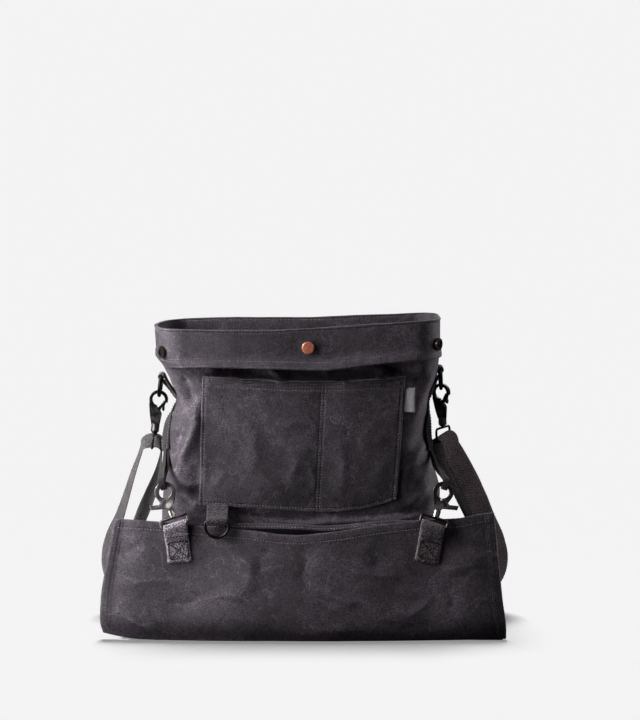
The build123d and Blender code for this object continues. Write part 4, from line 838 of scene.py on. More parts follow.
# ground panel under the body, one sheet to the bottom fold
b = Build()
s = np.linspace(0, 1, 70)[:, None]
rows_y = np.linspace(-76.0, 44.5, 40)[None, :]
half_l = np.interp(rows_y, [-76.0, -70, -62, 38, 44.5], [150, 162, 174, 121, 106])
half_r = np.interp(rows_y, [-76.0, -68, 38, 44.5], [200.0, 201.5, 121, 106])
px = -half_l + (half_l + half_r) * s
ground = np.stack([px, np.broadcast_to(rows_y, px.shape), 1.5 + 0.25 * rough(np.stack([px, np.broadcast_to(rows_y, px.shape), px * 0], -1), 30, 4, 2)], -1)
sheet_shell(b, ground, 1.2, pale=None)
ground_panel = b.done("ground_panel", CANVAS)
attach(ground_panel, "bag")

# ------------------------------------------------------------------------------- rim cuff
RIM_X, RIM_Y, RIM_W, RIM_D, RIM_R = -4.0, -4.0, 286.0, 108.0, 26.0
CUFF_TOP = [(-147, 314.0), (-111, 313.4), (-75, 312.8), (-42, 312.8), (4, 314.8), (20, 315.7), (50, 317.6), (81, 319.8), (115, 322.0), (139, 323.4)]
CUFF_LOW = [(-147, 273.6), (-130, 274.8), (-103, 275.8), (-42, 274.8), (0, 273.6), (20, 273.2), (40, 275.2), (81, 280.3), (115, 283.0), (139, 284.6)]
CUFF_BACK_TOP = [(-147, 315.0), (-80, 317.0), (0, 317.2), (80, 320.0), (139, 322.6)]
CUFF_BACK_LOW = [(-147, 278.6), (-80, 275.4), (0, 275.2), (80, 279.0), (139, 283.4)]
one = np.ones(1)
ring = rounded_loop(*[one * v for v in (RIM_X - 143, RIM_X + 143, RIM_X - 143, RIM_X + 143, RIM_Y - 54, RIM_Y + 54, RIM_R, RIM_R)])[0]
ring[:, 0] -= np.where(ring[:, 0] < -140, 6.5 * np.cos(np.pi / 2 * np.clip((ring[:, 1] + 4) / 40, -1, 1)) ** 2, 0)
ring_t = unit(np.roll(ring, -1, 0) - np.roll(ring, 1, 0))
ring_out = np.stack([ring_t[:, 1], -ring_t[:, 0]], -1)
back_mix = smooth(-40, 34, ring[:, 1])
cuff_top = curve(CUFF_TOP, ring[:, 0]) * (1 - back_mix) + curve(CUFF_BACK_TOP, ring[:, 0]) * back_mix
cuff_low = curve(CUFF_LOW, ring[:, 0]) * (1 - back_mix) + curve(CUFF_BACK_LOW, ring[:, 0]) * back_mix
cuff_low = cuff_low + 6.0 * smooth(-138, -146, ring[:, 0]) * np.cos(np.pi / 2 * np.clip((ring[:, 1] + 4) / 38, -1, 1)) ** 2
# section: (distance up the cuff 0 to 1 and extra millimetres, set in from the outside)
OUTER_H = np.array([0, 0.5, 1.2, 2.2, 3.4, 4.8, 5.8, 6.4, 7.0, 7.6, 8.2, 8.8, 9.6, 11, 13, 15.5, 18, 20.5, 23, 25.5, 28, 30.5, 33, 35, 36.4, 37.2, 37.8, 38.4, 39.0, 39.6, 40.2])
TALL = 41.0
frac = OUTER_H / TALL
sec_in = 0.0 * OUTER_H
sec_in = sec_in + 0.85 * smooth(8.0, 9.2, OUTER_H)  # hem is one fold thicker
sec_in = sec_in + 0.55 * np.exp(-(((OUTER_H - 7.0) / 0.8) ** 2)) + 0.5 * np.exp(-(((OUTER_H - 37.8) / 0.8) ** 2))
sec_in = sec_in - 0.45 * smooth(38.2, 39.4, OUTER_H)
arc = np.linspace(0, np.pi, 9)[1:-1]
front_mid = smooth(-134, -96, ring[:, 0]) * smooth(132, 100, ring[:, 0])
flare = 0.4 + (1.6 + 2.4 * np.exp(-(((ring[:, 0] - 10) / 80) ** 2)) * (1 - back_mix)) * front_mid + 0.5 * noise3(np.stack([ring[:, 0], ring[:, 1], ring[:, 0] * 0], -1), 40, 8)
drawn_in = smooth(-108, -140, ring[:, 0]) * smooth(8, -40, ring[:, 1])
tall = cuff_top - cuff_low
cols = []
pale_cols = []
for k in range(len(OUTER_H)):
    h = OUTER_H[k]
    z = cuff_low + frac[k] * tall
    d = sec_in[k] - flare * smooth(17, 0, h) ** 1.3 - 1.8 * front_mid * (1 - back_mix) * smooth(7.2, 0, h)
    cols.append((d, z))
for a in arc:
    cols.append((1.9 - 1.9 * np.cos(a) + 0.4 + 0 * cuff_top, cuff_low + frac[-1] * tall + (tall * (1 - frac[-1])) * np.sin(a)))
for k, h in enumerate((40.0, 39.0, 38.2, 37.4, 36, 33, 29, 24, 19, 14, 10.5, 9, 8.2, 7.4, 6, 4.5, 3.2)):
    bulge = 0.5 * math.exp(-(((h - 38.2) / 1.0) ** 2)) + 0.5 * math.exp(-(((h - 8.2) / 1.0) ** 2))
    cols.append((4.2 - bulge + 0 * cuff_low, cuff_low + h / TALL * tall))
cuff = np.empty((len(ring), len(cols), 3))
for k, (d, z) in enumerate(cols):
    cuff[:, k, 0] = ring[:, 0] - ring_out[:, 0] * d + drawn_in * np.interp((z - cuff_low) / tall * TALL, [0, 6, 12, 20, 41], [5.8, 2.9, 0.4, -0.6, -3.2])
    cuff[:, k, 1] = ring[:, 1] - ring_out[:, 1] * d
    cuff[:, k, 2] = z
cuff_n = grid_normals(cuff, wrap_u=True)
wave = 0.55 * rough(cuff, 46, 31, 2) + 0.16 * rough(cuff, 9, 33, 2)
snap_spots = [(4, -58, 295), (4, 50, 295), (-143.05, -45.8, 289.5), (135.05, -45.8, 297.5), (-143.05, 37.8, 290.5), (135.05, 37.8, 296.5)]
flat_here = np.ones(cuff.shape[:2])
for sx, sy, sz in snap_spots:
    flat_here *= smooth(6.0, 16.0, np.sqrt((cuff[..., 0] - sx) ** 2 + (cuff[..., 1] - sy) ** 2 + (cuff[..., 2] - sz) ** 2))
cuff = cuff + cuff_n * (wave * flat_here)[..., None]
cuff_n = grid_normals(cuff, wrap_u=True)
cuff_pale = np.zeros(cuff.shape[:2])
cuff_pale[:, 0:3] = 0.55 * (0.6 + 0.4 * noise3(cuff[:, 0:3], 7, 41))
top_rows = slice(len(OUTER_H) - 2, len(OUTER_H) + len(arc) - 1)
cuff_pale[:, top_rows] = 0.5 * (0.6 + 0.4 * noise3(cuff[:, top_rows], 7, 42))
b = Build()
sheet_shell(b, cuff, 1.5, wrap_u=True, pale=np.clip(cuff_pale, 0, 1), normals=cuff_n)
rim = b.done("rim_cuff", CANVAS)
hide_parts("rim_band_front", "rim_band_back", "rim_stay")
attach(rim, "bag")
cuff_face = Face(cuff, cuff_n, wrap=True)
for h in (7.0, 37.8):
    j = np.interp(h, OUTER_H, np.arange(len(OUTER_H)))
    i = np.arange(0, len(ring), 0.5)
    bag_thread.row(*cuff_face.at(i, np.full(i.shape, j)), pitch=2.9, closed=True)
inner_h = np.array([40.0, 39.0, 38.2, 37.4, 36, 33, 29, 24, 19, 14, 10.5, 9, 8.2, 7.4, 6, 4.5, 3.2])
for h in (8.2, 38.2):
    j = len(OUTER_H) + len(arc) + np.interp(-h, -inner_h, np.arange(len(inner_h)))
    i = np.arange(0, len(ring), 0.5)
    bag_thread.row(*cuff_face.at(i, np.full(i.shape, j)), pitch=2.9, closed=True)

# ------------------------------------------------------------------------------- front pocket
P_TOP = [(-103, 265.6), (-60, 263.4), (-4, 260.8), (20, 260.8), (60, 262.4), (100, 264.8)]
P_LOW = [(-106, 134.4), (-51, 131.6), (0, 128.2), (17, 127.5), (40, 128.6), (62, 131.6), (80, 136.2), (94, 140.8)]
P_DIV = 18.6


def spaced(total, marks, step):
    """Sample positions from 0 to total, with extra ones about each seam."""
    out = list(np.arange(0, total, step)) + [total]
    for mrk in marks:
        out += [mrk + d for d in (-2.2, -1.3, -0.6, 0, 0.6, 1.3, 2.2)]
    out = np.unique(np.round(np.clip(out, 0, total), 3))
    keep = [out[0]]
    for v in out[1:]:
        if v - keep[-1] > 0.35:
            keep.append(v)
    keep[-1] = total
    return np.array(keep)


ps = spaced(1.0 * 202, [3.0, 199.0, 119.4, 122.8], 2.6) / 202
pt = spaced(1.0 * 131, [3.0, 122.0, 128.4], 2.4) / 131
S, T = np.meshgrid(ps, pt, indexing="ij")
left_x = -106.0 + 3.4 * T
right_x = 93.4 + 8.4 * T
px = left_x + (right_x - left_x) * S
low, high = curve(P_LOW, px), curve(P_TOP, px)
pz = low + (high - low) * T
wall = body_front_y(px, pz) - hollow(px, pz)
div_s = (P_DIV + 106) / 202
puff = np.sin(np.pi * S) ** 0.6 * (1 - 0.30 * np.exp(-(((S - div_s) * 202 / 15) ** 2)))
rise = smooth(0, 0.18, T) * (0.55 + 0.45 * smooth(0.5, 1.0, T))
gape = puff * smooth(0.72, 1.0, T)
stand = 1.9 + 3.2 * puff * rise + 1.8 * gape
edge_l, edge_r, edge_b = S * 202, (1 - S) * 202, T * 131
top_d = (1 - T) * 131
pq = np.stack([px, wall, pz], -1)
pocket_folds = [
    ([(-60, 228), (-48, 205), (-52, 182), (-66, 160)], 7.0, 1.1),
    ([(-92, 200), (-74, 188), (-60, 190)], 6.0, -0.9),
    ([(-26, 214), (-8, 221), (8, 218), (14, 206)], 4.5, 1.0),
    ([(-18, 190), (-6, 176), (-14, 160), (2, 150)], 6.0, 1.2),
    ([(-4, 182), (8, 172), (12, 156), (6, 142)], 4.0, 1.1),
    ([(-98, 146), (-86, 160), (-80, 176)], 4.5, 1.0),
    ([(30, 196), (42, 178), (40, 158), (34, 142)], 5.0, 1.1),
    ([(60, 250), (72, 232), (90, 226)], 6.0, -0.9),
    ([(54, 214), (70, 200), (86, 202)], 6.0, 0.8),
    ([(86, 182), (74, 164), (84, 148)], 6.0, 0.8),
    ([(-88, 252), (-70, 244), (-40, 246)], 5.0, -0.8),
]
rel, ppale = folds(px, pz, pocket_folds, 13)
inside = smooth(0, 12, edge_l) * smooth(0, 12, edge_r) * smooth(0, 10, edge_b)
stand = stand + (1.0 * rel + 1.3 * rough(pq, 60, 51, 2) + 0.25 * rough(pq, 22, 53, 2)) * inside + 0.14 * rough(pq, 8, 52, 2)
# hems a fold thicker, and the lines that the stitches pull in
stand += 0.55 * smooth(13.2, 12.0, top_d)
for dist, line, deep in ((edge_l, 3.0, 0.5), (edge_r, 3.0, 0.5), (edge_b, 3.0, 0.5), (top_d, 2.6, 0.4), (top_d, 9.0, 0.45)):
    stand -= deep * np.exp(-(((dist - line) / 0.8) ** 2))
for line in (119.4, 122.8):
    stand -= 0.4 * np.exp(-(((S * 202 - line) / 0.8) ** 2))
stand = np.maximum(stand, 1.3)
pocket_p = np.stack([px, wall - stand, pz], -1)
pocket_n = grid_normals(pocket_p)
if pocket_n[..., 1].mean() > 0:
    pocket_n = -pocket_n
edge_pale = 0.5 * np.exp(-((edge_l / 1.3) ** 2)) + 0.5 * np.exp(-((edge_r / 1.3) ** 2)) + 0.45 * np.exp(-((edge_b / 1.4) ** 2)) + 0.5 * np.exp(-((top_d / 1.3) ** 2))
ppale = np.clip(np.maximum(ppale, edge_pale * (0.55 + 0.45 * noise3(pocket_p, 6, 61))), 0, 1)
b = Build()
sheet_shell(b, pocket_p, 1.2, pale=ppale, normals=pocket_n)
pocket = b.done("pocket_canvas", CANVAS)
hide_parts("pocket_panel")
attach(pocket, "bag")
pocket_face = Face(pocket_p, pocket_n)


def on_pocket(s_mm, t_mm):
    i = np.interp(np.asarray(s_mm, float) / 202, ps, np.arange(len(ps)))
    j = np.interp(np.asarray(t_mm, float) / 131, pt, np.arange(len(pt)))
    return pocket_face.at(i, j)


def straight(a, b_, n=80):
    t = np.linspace(0, 1, n)
    return a[0] + (b_[0] - a[0]) * t, a[1] + (b_[1] - a[1]) * t


for a, c in (((3.0, 129), (3.0, 3.0)), ((3.0, 3.0), (199.0, 3.0)), ((199.0, 3.0), (199.0, 129)), ((2, 128.4), (200, 128.4)), ((2, 122.0), (200, 122.0)), ((119.4, 4), (119.4, 128)), ((122.8, 4), (122.8, 128))):
    bag_thread.row(*on_pocket(*straight(a, c)))

# ------------------------------------------------------------------------------- flap
F_TOP = [(-192, 122.8), (-142, 119.4), (-114, 116.4), (-80, 113.4), (-50, 110.8), (-19, 107.0), (-4, 106.6), (16, 108.4), (33, 110.2), (71, 115.9), (113, 120.7), (137, 122.3), (158, 123.6), (174, 127.0), (192, 129.2)]
F_INNER_TOP = [(-192, 121.0), (-142, 118.6), (-113, 117.6), (-74, 117.3), (-4, 116.2), (16, 114.8), (31, 115.2), (52, 117.3), (81, 119.9), (113, 121.0), (137, 121.8), (158, 123.0), (174, 125.8), (192, 127.6)]
F_LEFT = [(0, -199.5), (8, -203.0), (20, -205.6), (42, -204.6), (82, -198.2), (124, -190.8)]
F_RIGHT = [(0, 203.6), (11, 203.4), (42, 199.6), (82, 195.4), (130, 190.8)]
F_LIFT = [(-206, 12.0), (-203, 10.4), (-196, 8.4), (-184, 6.0), (-168, 4.0), (-140, 2.8), (-100, 2.2), (0, 1.2), (100, 0.5), (203, 0.3)]


fs = spaced(400.0, [7.5, 392.5], 2.4) / 400
fv = spaced(120.0, [111.5], 2.3) / 120


def flap_layer(v, top_keys):
    """x and u over the flap for rows v from the fold to the edge."""
    s_, v_ = np.meshgrid(fs, v, indexing="ij")
    guess = v_ * 118
    x = curve(F_LEFT, guess) * (1 - s_) + curve(F_RIGHT, guess) * s_
    lift = curve(F_LIFT, x)
    u = lift + (curve(top_keys, x) / CU - lift) * v_
    x = curve(F_LEFT, u) * (1 - s_) + curve(F_RIGHT, u) * s_
    return s_, v_, x, u


flap_folds = [
    ([(-196, 70), (-170, 62), (-140, 66), (-110, 60)], 9.0, 2.2),
    ([(-150, 40), (-120, 34), (-90, 42), (-60, 36)], 8.0, -2.2),
    ([(-118, 28), (-104, 40), (-80, 48), (-52, 46)], 4.0, 2.0),
    ([(-70, 92), (-52, 76), (-56, 58), (-70, 44)], 6.5, 2.0),
    ([(-30, 96), (-44, 84), (-40, 66)], 5.0, -1.8),
    ([(-10, 98), (4, 84), (-2, 66), (10, 52)], 8.0, -2.2),
    ([(20, 62), (28, 48), (44, 40), (60, 44)], 4.0, 2.2),
    ([(30, 84), (52, 70), (80, 66), (104, 74)], 6.0, 1.9),
    ([(64, 100), (76, 84), (70, 66)], 7.0, -2.0),
    ([(86, 40), (106, 28), (122, 36), (132, 52)], 5.0, 2.1),
    ([(120, 92), (140, 76), (160, 74), (184, 82)], 7.0, 2.0),
    ([(140, 60), (152, 44), (148, 26)], 5.0, -2.0),
    ([(150, 110), (164, 96), (186, 92)], 6.0, -1.8),
    ([(-186, 30), (-166, 18), (-140, 12)], 7.0, 2.2),
    ([(-160, 104), (-176, 90), (-190, 88)], 6.0, -1.6),
    ([(-40, 18), (0, 10), (50, 14), (100, 8)], 6.0, 1.8),
    ([(60, 22), (110, 14), (160, 20)], 6.0, -1.8),
    ([(-100, 104), (-84, 96), (-60, 100)], 5.0, 1.4),
]
S, V, fx, fu = flap_layer(fv, F_TOP)
frel, fpale = folds(fx, fu, flap_folds, 23)
q = flap_xyz(fx, fu, 0 * fx)
calm = np.ones(fx.shape)
for side in (-1, 1):
    calm *= smooth(10, 26, np.hypot((fx - side * 125) / 1.0, np.maximum(0, np.abs(fu - 99) - 20)))
edge_in = smooth(0, 10, S * 400) * smooth(0, 10, (1 - S) * 400)
out_n = 0.6 * frel * (0.25 + 0.75 * calm) * edge_in
out_n += (2.2 * rough(q, 100, 71, 2) + 0.45 * rough(q, 30, 72, 2)) * (0.2 + 0.8 * calm) * edge_in
out_n += 2.0 * np.sin(np.pi * np.clip(V, 0, 1)) * np.exp(-((fx / 150) ** 2)) * calm
wide_calm = np.ones(fx.shape)
for side in (-1, 1):
    wide_calm *= smooth(4, 70, np.hypot(fx - side * 125, np.maximum(0, np.abs(fu - 99) - 20)))
from_fold = fu - curve(F_LIFT, fx)
out_n += 12.0 * np.exp(-((fx / 168) ** 4)) * (1 - np.clip(V, 0, 1) ** 1.3) * (0.1 + 0.9 * wide_calm)
out_n -= 7.0 * np.clip(1 - from_fold / 24.0, 0, 1) ** 2
mouth = np.exp(-(((fx + 2) / 62) ** 4))
out_n += 2.6 * mouth * V**3
out_n -= 3.0 * smooth(0.10, 0.0, S) ** 2 + 2.0 * smooth(0.08, 0.0, 1 - S) ** 2
side_d = np.minimum(S, 1 - S) * 400
top_in = fu.max(axis=1, keepdims=True) - fu
out_n += 0.5 * smooth(10.0, 8.6, top_in) + 0.6 * smooth(9.6, 8.4, side_d)
out_n -= 0.5 * np.exp(-(((side_d - 7.5) / 0.85) ** 2)) + 0.45 * np.exp(-(((top_in - 8.0) / 0.9) ** 2))
_, _, ix, iu = flap_layer(fv, F_INNER_TOP)
edge_soft = 1 - np.abs(2 * S - 1) ** 6
gap = 2.1 + edge_soft * (1.8 + 1.6 * V + 6.5 * mouth * V**2)
in_n = out_n - gap - 1.5
in_n += 0.35 * rough(flap_xyz(ix, iu, 0 * ix), 30, 74, 2) * edge_soft
# one sheet: down the outer layer, round the fold, up the inner layer
turn = np.linspace(0, np.pi, 11)[1:-1]
r0 = (out_n[:, 0] - (in_n[:, 0])) / 2
mid_n = (out_n[:, 0] + in_n[:, 0]) / 2
fold_rows = [flap_xyz(fx[:, 0], fu[:, 0] - r0 * np.sin(a) * 0.9 + 0.2, mid_n + r0 * np.cos(a)) for a in turn]
outer_rows = flap_xyz(fx, fu, out_n)
inner_rows = flap_xyz(ix, iu, in_n)
flap_p = np.concatenate([outer_rows[:, ::-1], np.stack(fold_rows, 1), inner_rows], 1)
flap_p[..., 2] = np.maximum(flap_p[..., 2], 1.5)
flap_n = grid_normals(flap_p)
if flap_n[:, : len(fv)][..., 1].mean() > 0:
    flap_n = -flap_n
worn = 0.5 * np.exp(-((side_d / 1.6) ** 2)) + 0.5 * np.exp(-((top_in / 1.4) ** 2)) + 0.35 * smooth(5, 0, fu)
fpale = np.clip(np.maximum(0.85 * fpale, worn * (0.55 + 0.45 * noise3(outer_rows, 6, 77))), 0, 1)
flap_pale = np.concatenate([fpale[:, ::-1], np.zeros((len(fs), len(turn))), 0.3 * fpale], 1)
b = Build()
sheet_shell(b, flap_p, 1.3, pale=flap_pale, normals=flap_n)
flap = b.done("flap_canvas", CANVAS)
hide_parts("flap_outer_panel", "flap_inner_panel")
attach(flap, "flap")
PRESSED = {"axis": (0.0, -CU, SU), "anchor": tuple(flap_xyz(0, 0, -1.2) * MM), "keep": 0.2}  # axis, anchor and keep for laying the flap flat on the ground; nothing in this script uses them
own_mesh(flap)
flap_face = Face(flap_p, flap_n)
# a near-black sheet laid on the inner layer, up to its hem: painted shade for the inside of the chute's mouth
b = Build()
cols_in = slice(4, len(fs) - 4)
rows_in = np.linspace(0.12, 1.0, 30)
lin_x = np.stack([[np.interp(r * (iu[k, -1] - 4.2), iu[k], ix[k]) for r in rows_in] for k in range(len(fs))])[cols_in]
lin_u = np.stack([rows_in * (iu[k, -1] - 4.2) for k in range(len(fs))])[cols_in]
lin_n = np.stack([[np.interp(r * (iu[k, -1] - 4.2), iu[k], in_n[k]) for r in rows_in] for k in range(len(fs))])[cols_in] + 1.3 + 0.4
shade_sheet_p = flap_xyz(lin_x, lin_u, lin_n)
shade_sheet_n = grid_normals(shade_sheet_p)
if shade_sheet_n[..., 1].mean() > 0:
    shade_sheet_n = -shade_sheet_n
sheet_shell(b, shade_sheet_p, 0.3, normals=shade_sheet_n)
flap_painted_shade_sheet = b.done("flap_painted_shade_sheet", PAINTED_SHADE_CANVAS)
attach(flap_painted_shade_sheet, "flap")
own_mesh(flap_painted_shade_sheet)


def on_flap(s_mm, v_mm):
    i = np.interp(np.asarray(s_mm, float) / 400, fs, np.arange(len(fs)))
    j = len(fv) - 1 - np.interp(np.asarray(v_mm, float) / 120, fv, np.arange(len(fv)))
    return flap_face.at(i, j)


def flap_v_below(s_mm, drop):
    """Row position that lies drop millimetres under the outer layer's edge."""
    col = np.interp(np.asarray(s_mm, float) / 400, fs, np.arange(len(fs)))
    k = np.clip(np.round(col).astype(int), 0, len(fs) - 1)
    return np.array([np.interp(fu[kk, -1] - drop, fu[kk], fv * 120) for kk in k])


vv = np.linspace(3, 117, 90)
tab_thread.row(*on_flap(np.full(vv.shape, 7.5), vv))
flap_thread.row(*on_flap(np.full(vv.shape, 392.5), vv))
ss = np.linspace(4, 396, 260)
flap_thread.row(*on_flap(ss, flap_v_below(ss, 8.0)))
# inner layer's hem, on the side that looks into the mouth and on its back
for off, sign in ((2.6, 1.0), (6.0, -1.0)):
    i = np.interp(ss / 400, fs, np.arange(len(fs)))
    k = np.clip(np.round(i).astype(int), 0, len(fs) - 1)
    j = np.array([len(fv) + len(turn) + np.interp(iu[kk, -1] - off, iu[kk], np.arange(len(fv))) for kk in k])
    p, n = flap_face.at(i, j)
    flap_thread.row(p - n * (1.3 if sign > 0 else 0.0), -n if sign > 0 else n)

# cloth that joins the body's front to the flap's inner layer at the bottom fold
b = Build()
xs = np.linspace(-177, 200, 150)
rows = []
up_in = np.linspace(16, 3.2, 7)
k = np.array([int(np.argmin(np.abs(fx[:, 6] - x))) for x in xs])
back_n = np.array([np.interp(up_in, iu[kk], in_n[kk]) for kk in k]) - 1.9
for c, u in enumerate(up_in):
    rows.append(flap_xyz(xs, np.full(xs.shape, u) + curve(F_LIFT, xs) * 0.6, back_n[:, c]))
wall_foot = body_front_y(np.clip(xs, -196, 196), np.full(xs.shape, 6.0)) - 0.6
foot_a = rows[-1]
for t in np.linspace(0, 1, 9)[1:-1]:
    y = foot_a[:, 1] * (1 - t) + wall_foot * t
    z = foot_a[:, 2] * (1 - t) + 5.0 * t - 2.4 * math.sin(math.pi * t)
    rows.append(np.stack([xs, y, np.maximum(z, 1.9)], -1))
for z in (5.0, 8.0, 12.0, 16.0):
    narrow = np.interp(z, [0, 20], [1.0, 0.955])
    rows.append(np.stack([xs * narrow, body_front_y(xs * narrow, np.full(xs.shape, z)) - 0.5, np.full(xs.shape, z)], -1))
gusset_p = np.stack(rows, 1)
gusset_n = grid_normals(gusset_p)
if gusset_n[..., 2].mean() < 0:
    gusset_n = -gusset_n
sheet_shell(b, gusset_p, 0.9, normals=gusset_n)
gusset = b.done("fold_gusset", CANVAS)
tuple(flap_xyz(0, 6, -12.0) * MM)
tuple(flap_xyz(0, 6, -7.2) * MM)
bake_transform(gusset)


# ------------------------------------------------------------------------------- webbing
def spline(points, step):
    """Evenly spaced points on a smooth line through points (centripetal), with the share along it."""
    p = np.array(points, float)
    ext = np.concatenate([[2 * p[0] - p[1]], p, [2 * p[-1] - p[-2]]])
    out, tag = [], []
    for k in range(1, len(ext) - 2):
        p0, p1, p2, p3 = ext[k - 1 : k + 3]
        t0 = 0.0
        t1 = t0 + max(np.linalg.norm(p1 - p0), 1e-6) ** 0.5
        t2 = t1 + max(np.linalg.norm(p2 - p1), 1e-6) ** 0.5
        t3 = t2 + max(np.linalg.norm(p3 - p2), 1e-6) ** 0.5
        t = np.linspace(t1, t2, 24, endpoint=False)[:, None]
        a1 = (t1 - t) / (t1 - t0) * p0 + (t - t0) / (t1 - t0) * p1
        a2 = (t2 - t) / (t2 - t1) * p1 + (t - t1) / (t2 - t1) * p2
        a3 = (t3 - t) / (t3 - t2) * p2 + (t - t2) / (t3 - t2) * p3
        b1 = (t2 - t) / (t2 - t0) * a1 + (t - t0) / (t2 - t0) * a2
        b2 = (t3 - t) / (t3 - t1) * a2 + (t - t1) / (t3 - t1) * a3
        out.append((t2 - t) / (t2 - t1) * b1 + (t - t1) / (t2 - t1) * b2)
        tag.append((k - 1) + np.linspace(0, 1, 24, endpoint=False))
    out = np.concatenate(out + [p[-1:]])
    tag = np.concatenate(tag + [[len(p) - 1.0]])
    run = np.concatenate([[0], np.cumsum(np.linalg.norm(np.diff(out, axis=0), axis=1))])
    n = max(int(run[-1] / step), 6)
    x = np.linspace(0, run[-1], n + 1)
    pts = np.stack([np.interp(x, run, out[:, k]) for k in range(3)], -1)
    return pts, np.interp(x, run, tag), run[-1]


def ribbon(name, points, across, width, thick, material, step=2.0, seed=0, wave=0.25, width_at=None):
    """A strip of webbing on a smooth line, with rounded selvedges. across: a direction at each point."""
    pts, tag, length = spline(points, step)
    w = np.array(across, float)
    for k in range(1, len(w)):
        if w[k] @ w[k - 1] < 0:
            w[k] = -w[k]
    w = np.stack([np.interp(tag, np.arange(len(w)), w[:, k]) for k in range(3)], -1)
    for _ in range(6):
        w[1:-1] = (w[:-2] + 2 * w[1:-1] + w[2:]) / 4
    t = unit(np.gradient(pts, axis=0))
    w = unit(w - t * (w * t).sum(-1, keepdims=True))
    n = np.cross(w, t)
    half = width / 2 if width_at is None else width_at(np.linspace(0, 1, len(pts)))[:, None] / 2
    wob = 0.25 * noise3(np.stack([np.linspace(0, length, len(pts)), np.full(len(pts), seed * 3.1), np.zeros(len(pts))], -1), 14, seed)[:, None]
    prof = []
    for k in np.linspace(-1, 1, 13):
        prof.append((k * 0.97, 0.5 * (1 - 0.35 * abs(k) ** 8)))
    prof += [(1.0, 0.12), (1.0, -0.12)]
    for k in np.linspace(1, -1, 13):
        prof.append((k * 0.97, -0.5 * (1 - 0.35 * abs(k) ** 8)))
    prof += [(-1.0, -0.12), (-1.0, 0.12)]
    body_pts = []
    for a, h in prof:
        bend = wave * (noise3(pts + seed * 7.7, 26, seed + 1)[:, None] * a * a + 0.5 * noise3(pts + seed * 3.3, 60, seed + 2)[:, None] * a)
        body_pts.append(pts + w * (a * (half + wob * abs(a))) + n * (h * thick + bend))
    grid = np.stack(body_pts, 1)
    v = np.linspace(0, length, len(pts))
    u = np.array([a for a, _ in prof] + [prof[0][0]]) * width / 2 + width / 2
    uv = np.stack(np.broadcast_arrays(u[None, :], v[:, None]), -1).astype(float)
    pale_u = np.array([0.55 * abs(a) ** 10 for a, _ in prof])
    pale = np.clip(pale_u[None, :] * (0.6 + 0.4 * noise3(grid, 5, seed + 9)), 0, 1)
    b = Build()
    idx = b.grid(grid, uv, pale, wrap_v=True, flip=True)
    for end in (0, len(pts) - 1):
        ring_idx = idx[end]
        c = len(prof)
        quads = []
        for k in range(14):
            a_, b_ = ring_idx[k], ring_idx[k + 1]
            c_, d_ = ring_idx[(2 * 15 - 2 - k - 1) % c], ring_idx[(2 * 15 - 2 - k) % c]
            if len({a_, b_, c_, d_}) == 4:
                quads.append([a_, b_, c_, d_] if end else [d_, c_, b_, a_])
        b.quads(quads, np.zeros((len(quads), 4, 2)))
    return b.done(name, material), pts, w, n, length


# carrying strap: the route and the turn of its face are the model's own
SY, FZ = 66.5, 0.95
left_arch = [((-147.6, -3.6, 183.5), None), ((-148.0, -4, 188.4), None), ((-151.2, -4, 192.4), None), ((-156.8, -4, 193.7), None), ((-162.4, -4, 192.7), None), ((-166.8, -4, 189.2), None), ((-168.6, -3.6, 184.0), None)]
left_inner = [((-123, SY, 6.6), (0, 0, 1)), ((-138, SY, 7.8), (0.1, 0, 1)), ((-160, 64.5, 12), (0.3, 0, 0.95)), ((-175, 60, 21), (0.6, 0, 0.8)), ((-184, 53, 37), (0.88, 0.1, 0.45)), ((-185.5, 44, 57), (0.95, 0.25, 0.15)), ((-180.5, 34.5, 82), (0.9, 0.42, 0)), ((-172.0, 24, 108), (0.88, 0.45, 0)), ((-162.2, 13.5, 131), (0.9, 0.4, 0)), ((-153.0, 4.5, 155), (0.95, 0.25, 0)), ((-149.0, -1.0, 173), (1, 0.1, 0))]
left_outer = [((-171.6, -2.2, 175), (-0.99, -0.1, 0)), ((-178.4, 1.5, 156), (-0.97, -0.2, 0.05)), ((-186.2, 6.5, 131), (-0.95, -0.28, 0.1)), ((-194.0, 13, 108), (-0.92, -0.36, 0.1)), ((-202.0, 20, 87), (-0.83, -0.55, 0)), ((-208.5, 29, 66), (-0.87, -0.45, -0.1)), ((-210.5, 38.5, 46), (-0.9, -0.3, -0.2)), ((-206.5, 48, 28), (-0.85, -0.1, -0.5)), ((-195, 56.5, 13.5), (-0.55, 0, -0.83)), ((-180, 63, 5.6), (-0.3, 0, -0.95)), ((-162, SY, 2.0), (-0.05, 0, -1)), ((-140, SY, FZ), (0, 0, -1))]
right_arch = [((136.9, 2.4, 187.0), None), ((137.6, 1.6, 193.6), None), ((139.8, -0.5, 197.6), None), ((143.4, -4, 199.4), None), ((147.2, -7.7, 197.8), None), ((149.8, -10, 193.6), None), ((151.2, -10.4, 188.0), None)]
right_inner = [((123, SY, 6.6), (0, 0, 1)), ((138, SY, 7.8), (-0.1, 0, 1)), ((160, 64.5, 12), (-0.3, 0, 0.95)), ((176, 60, 21), (-0.6, 0.05, 0.8)), ((185.5, 53, 37), (-0.85, 0.25, 0.45)), ((188.5, 44, 56), (-0.75, 0.6, 0.15)), ((188.0, 35.5, 77), (-0.75, 0.65, 0)), ((180.5, 27, 98), (-0.85, 0.5, 0)), ((169, 19, 120), (-0.93, 0.35, 0)), ((157, 12.5, 143), (-0.95, 0.3, 0)), ((145.5, 7, 166), (-0.88, 0.46, 0))]
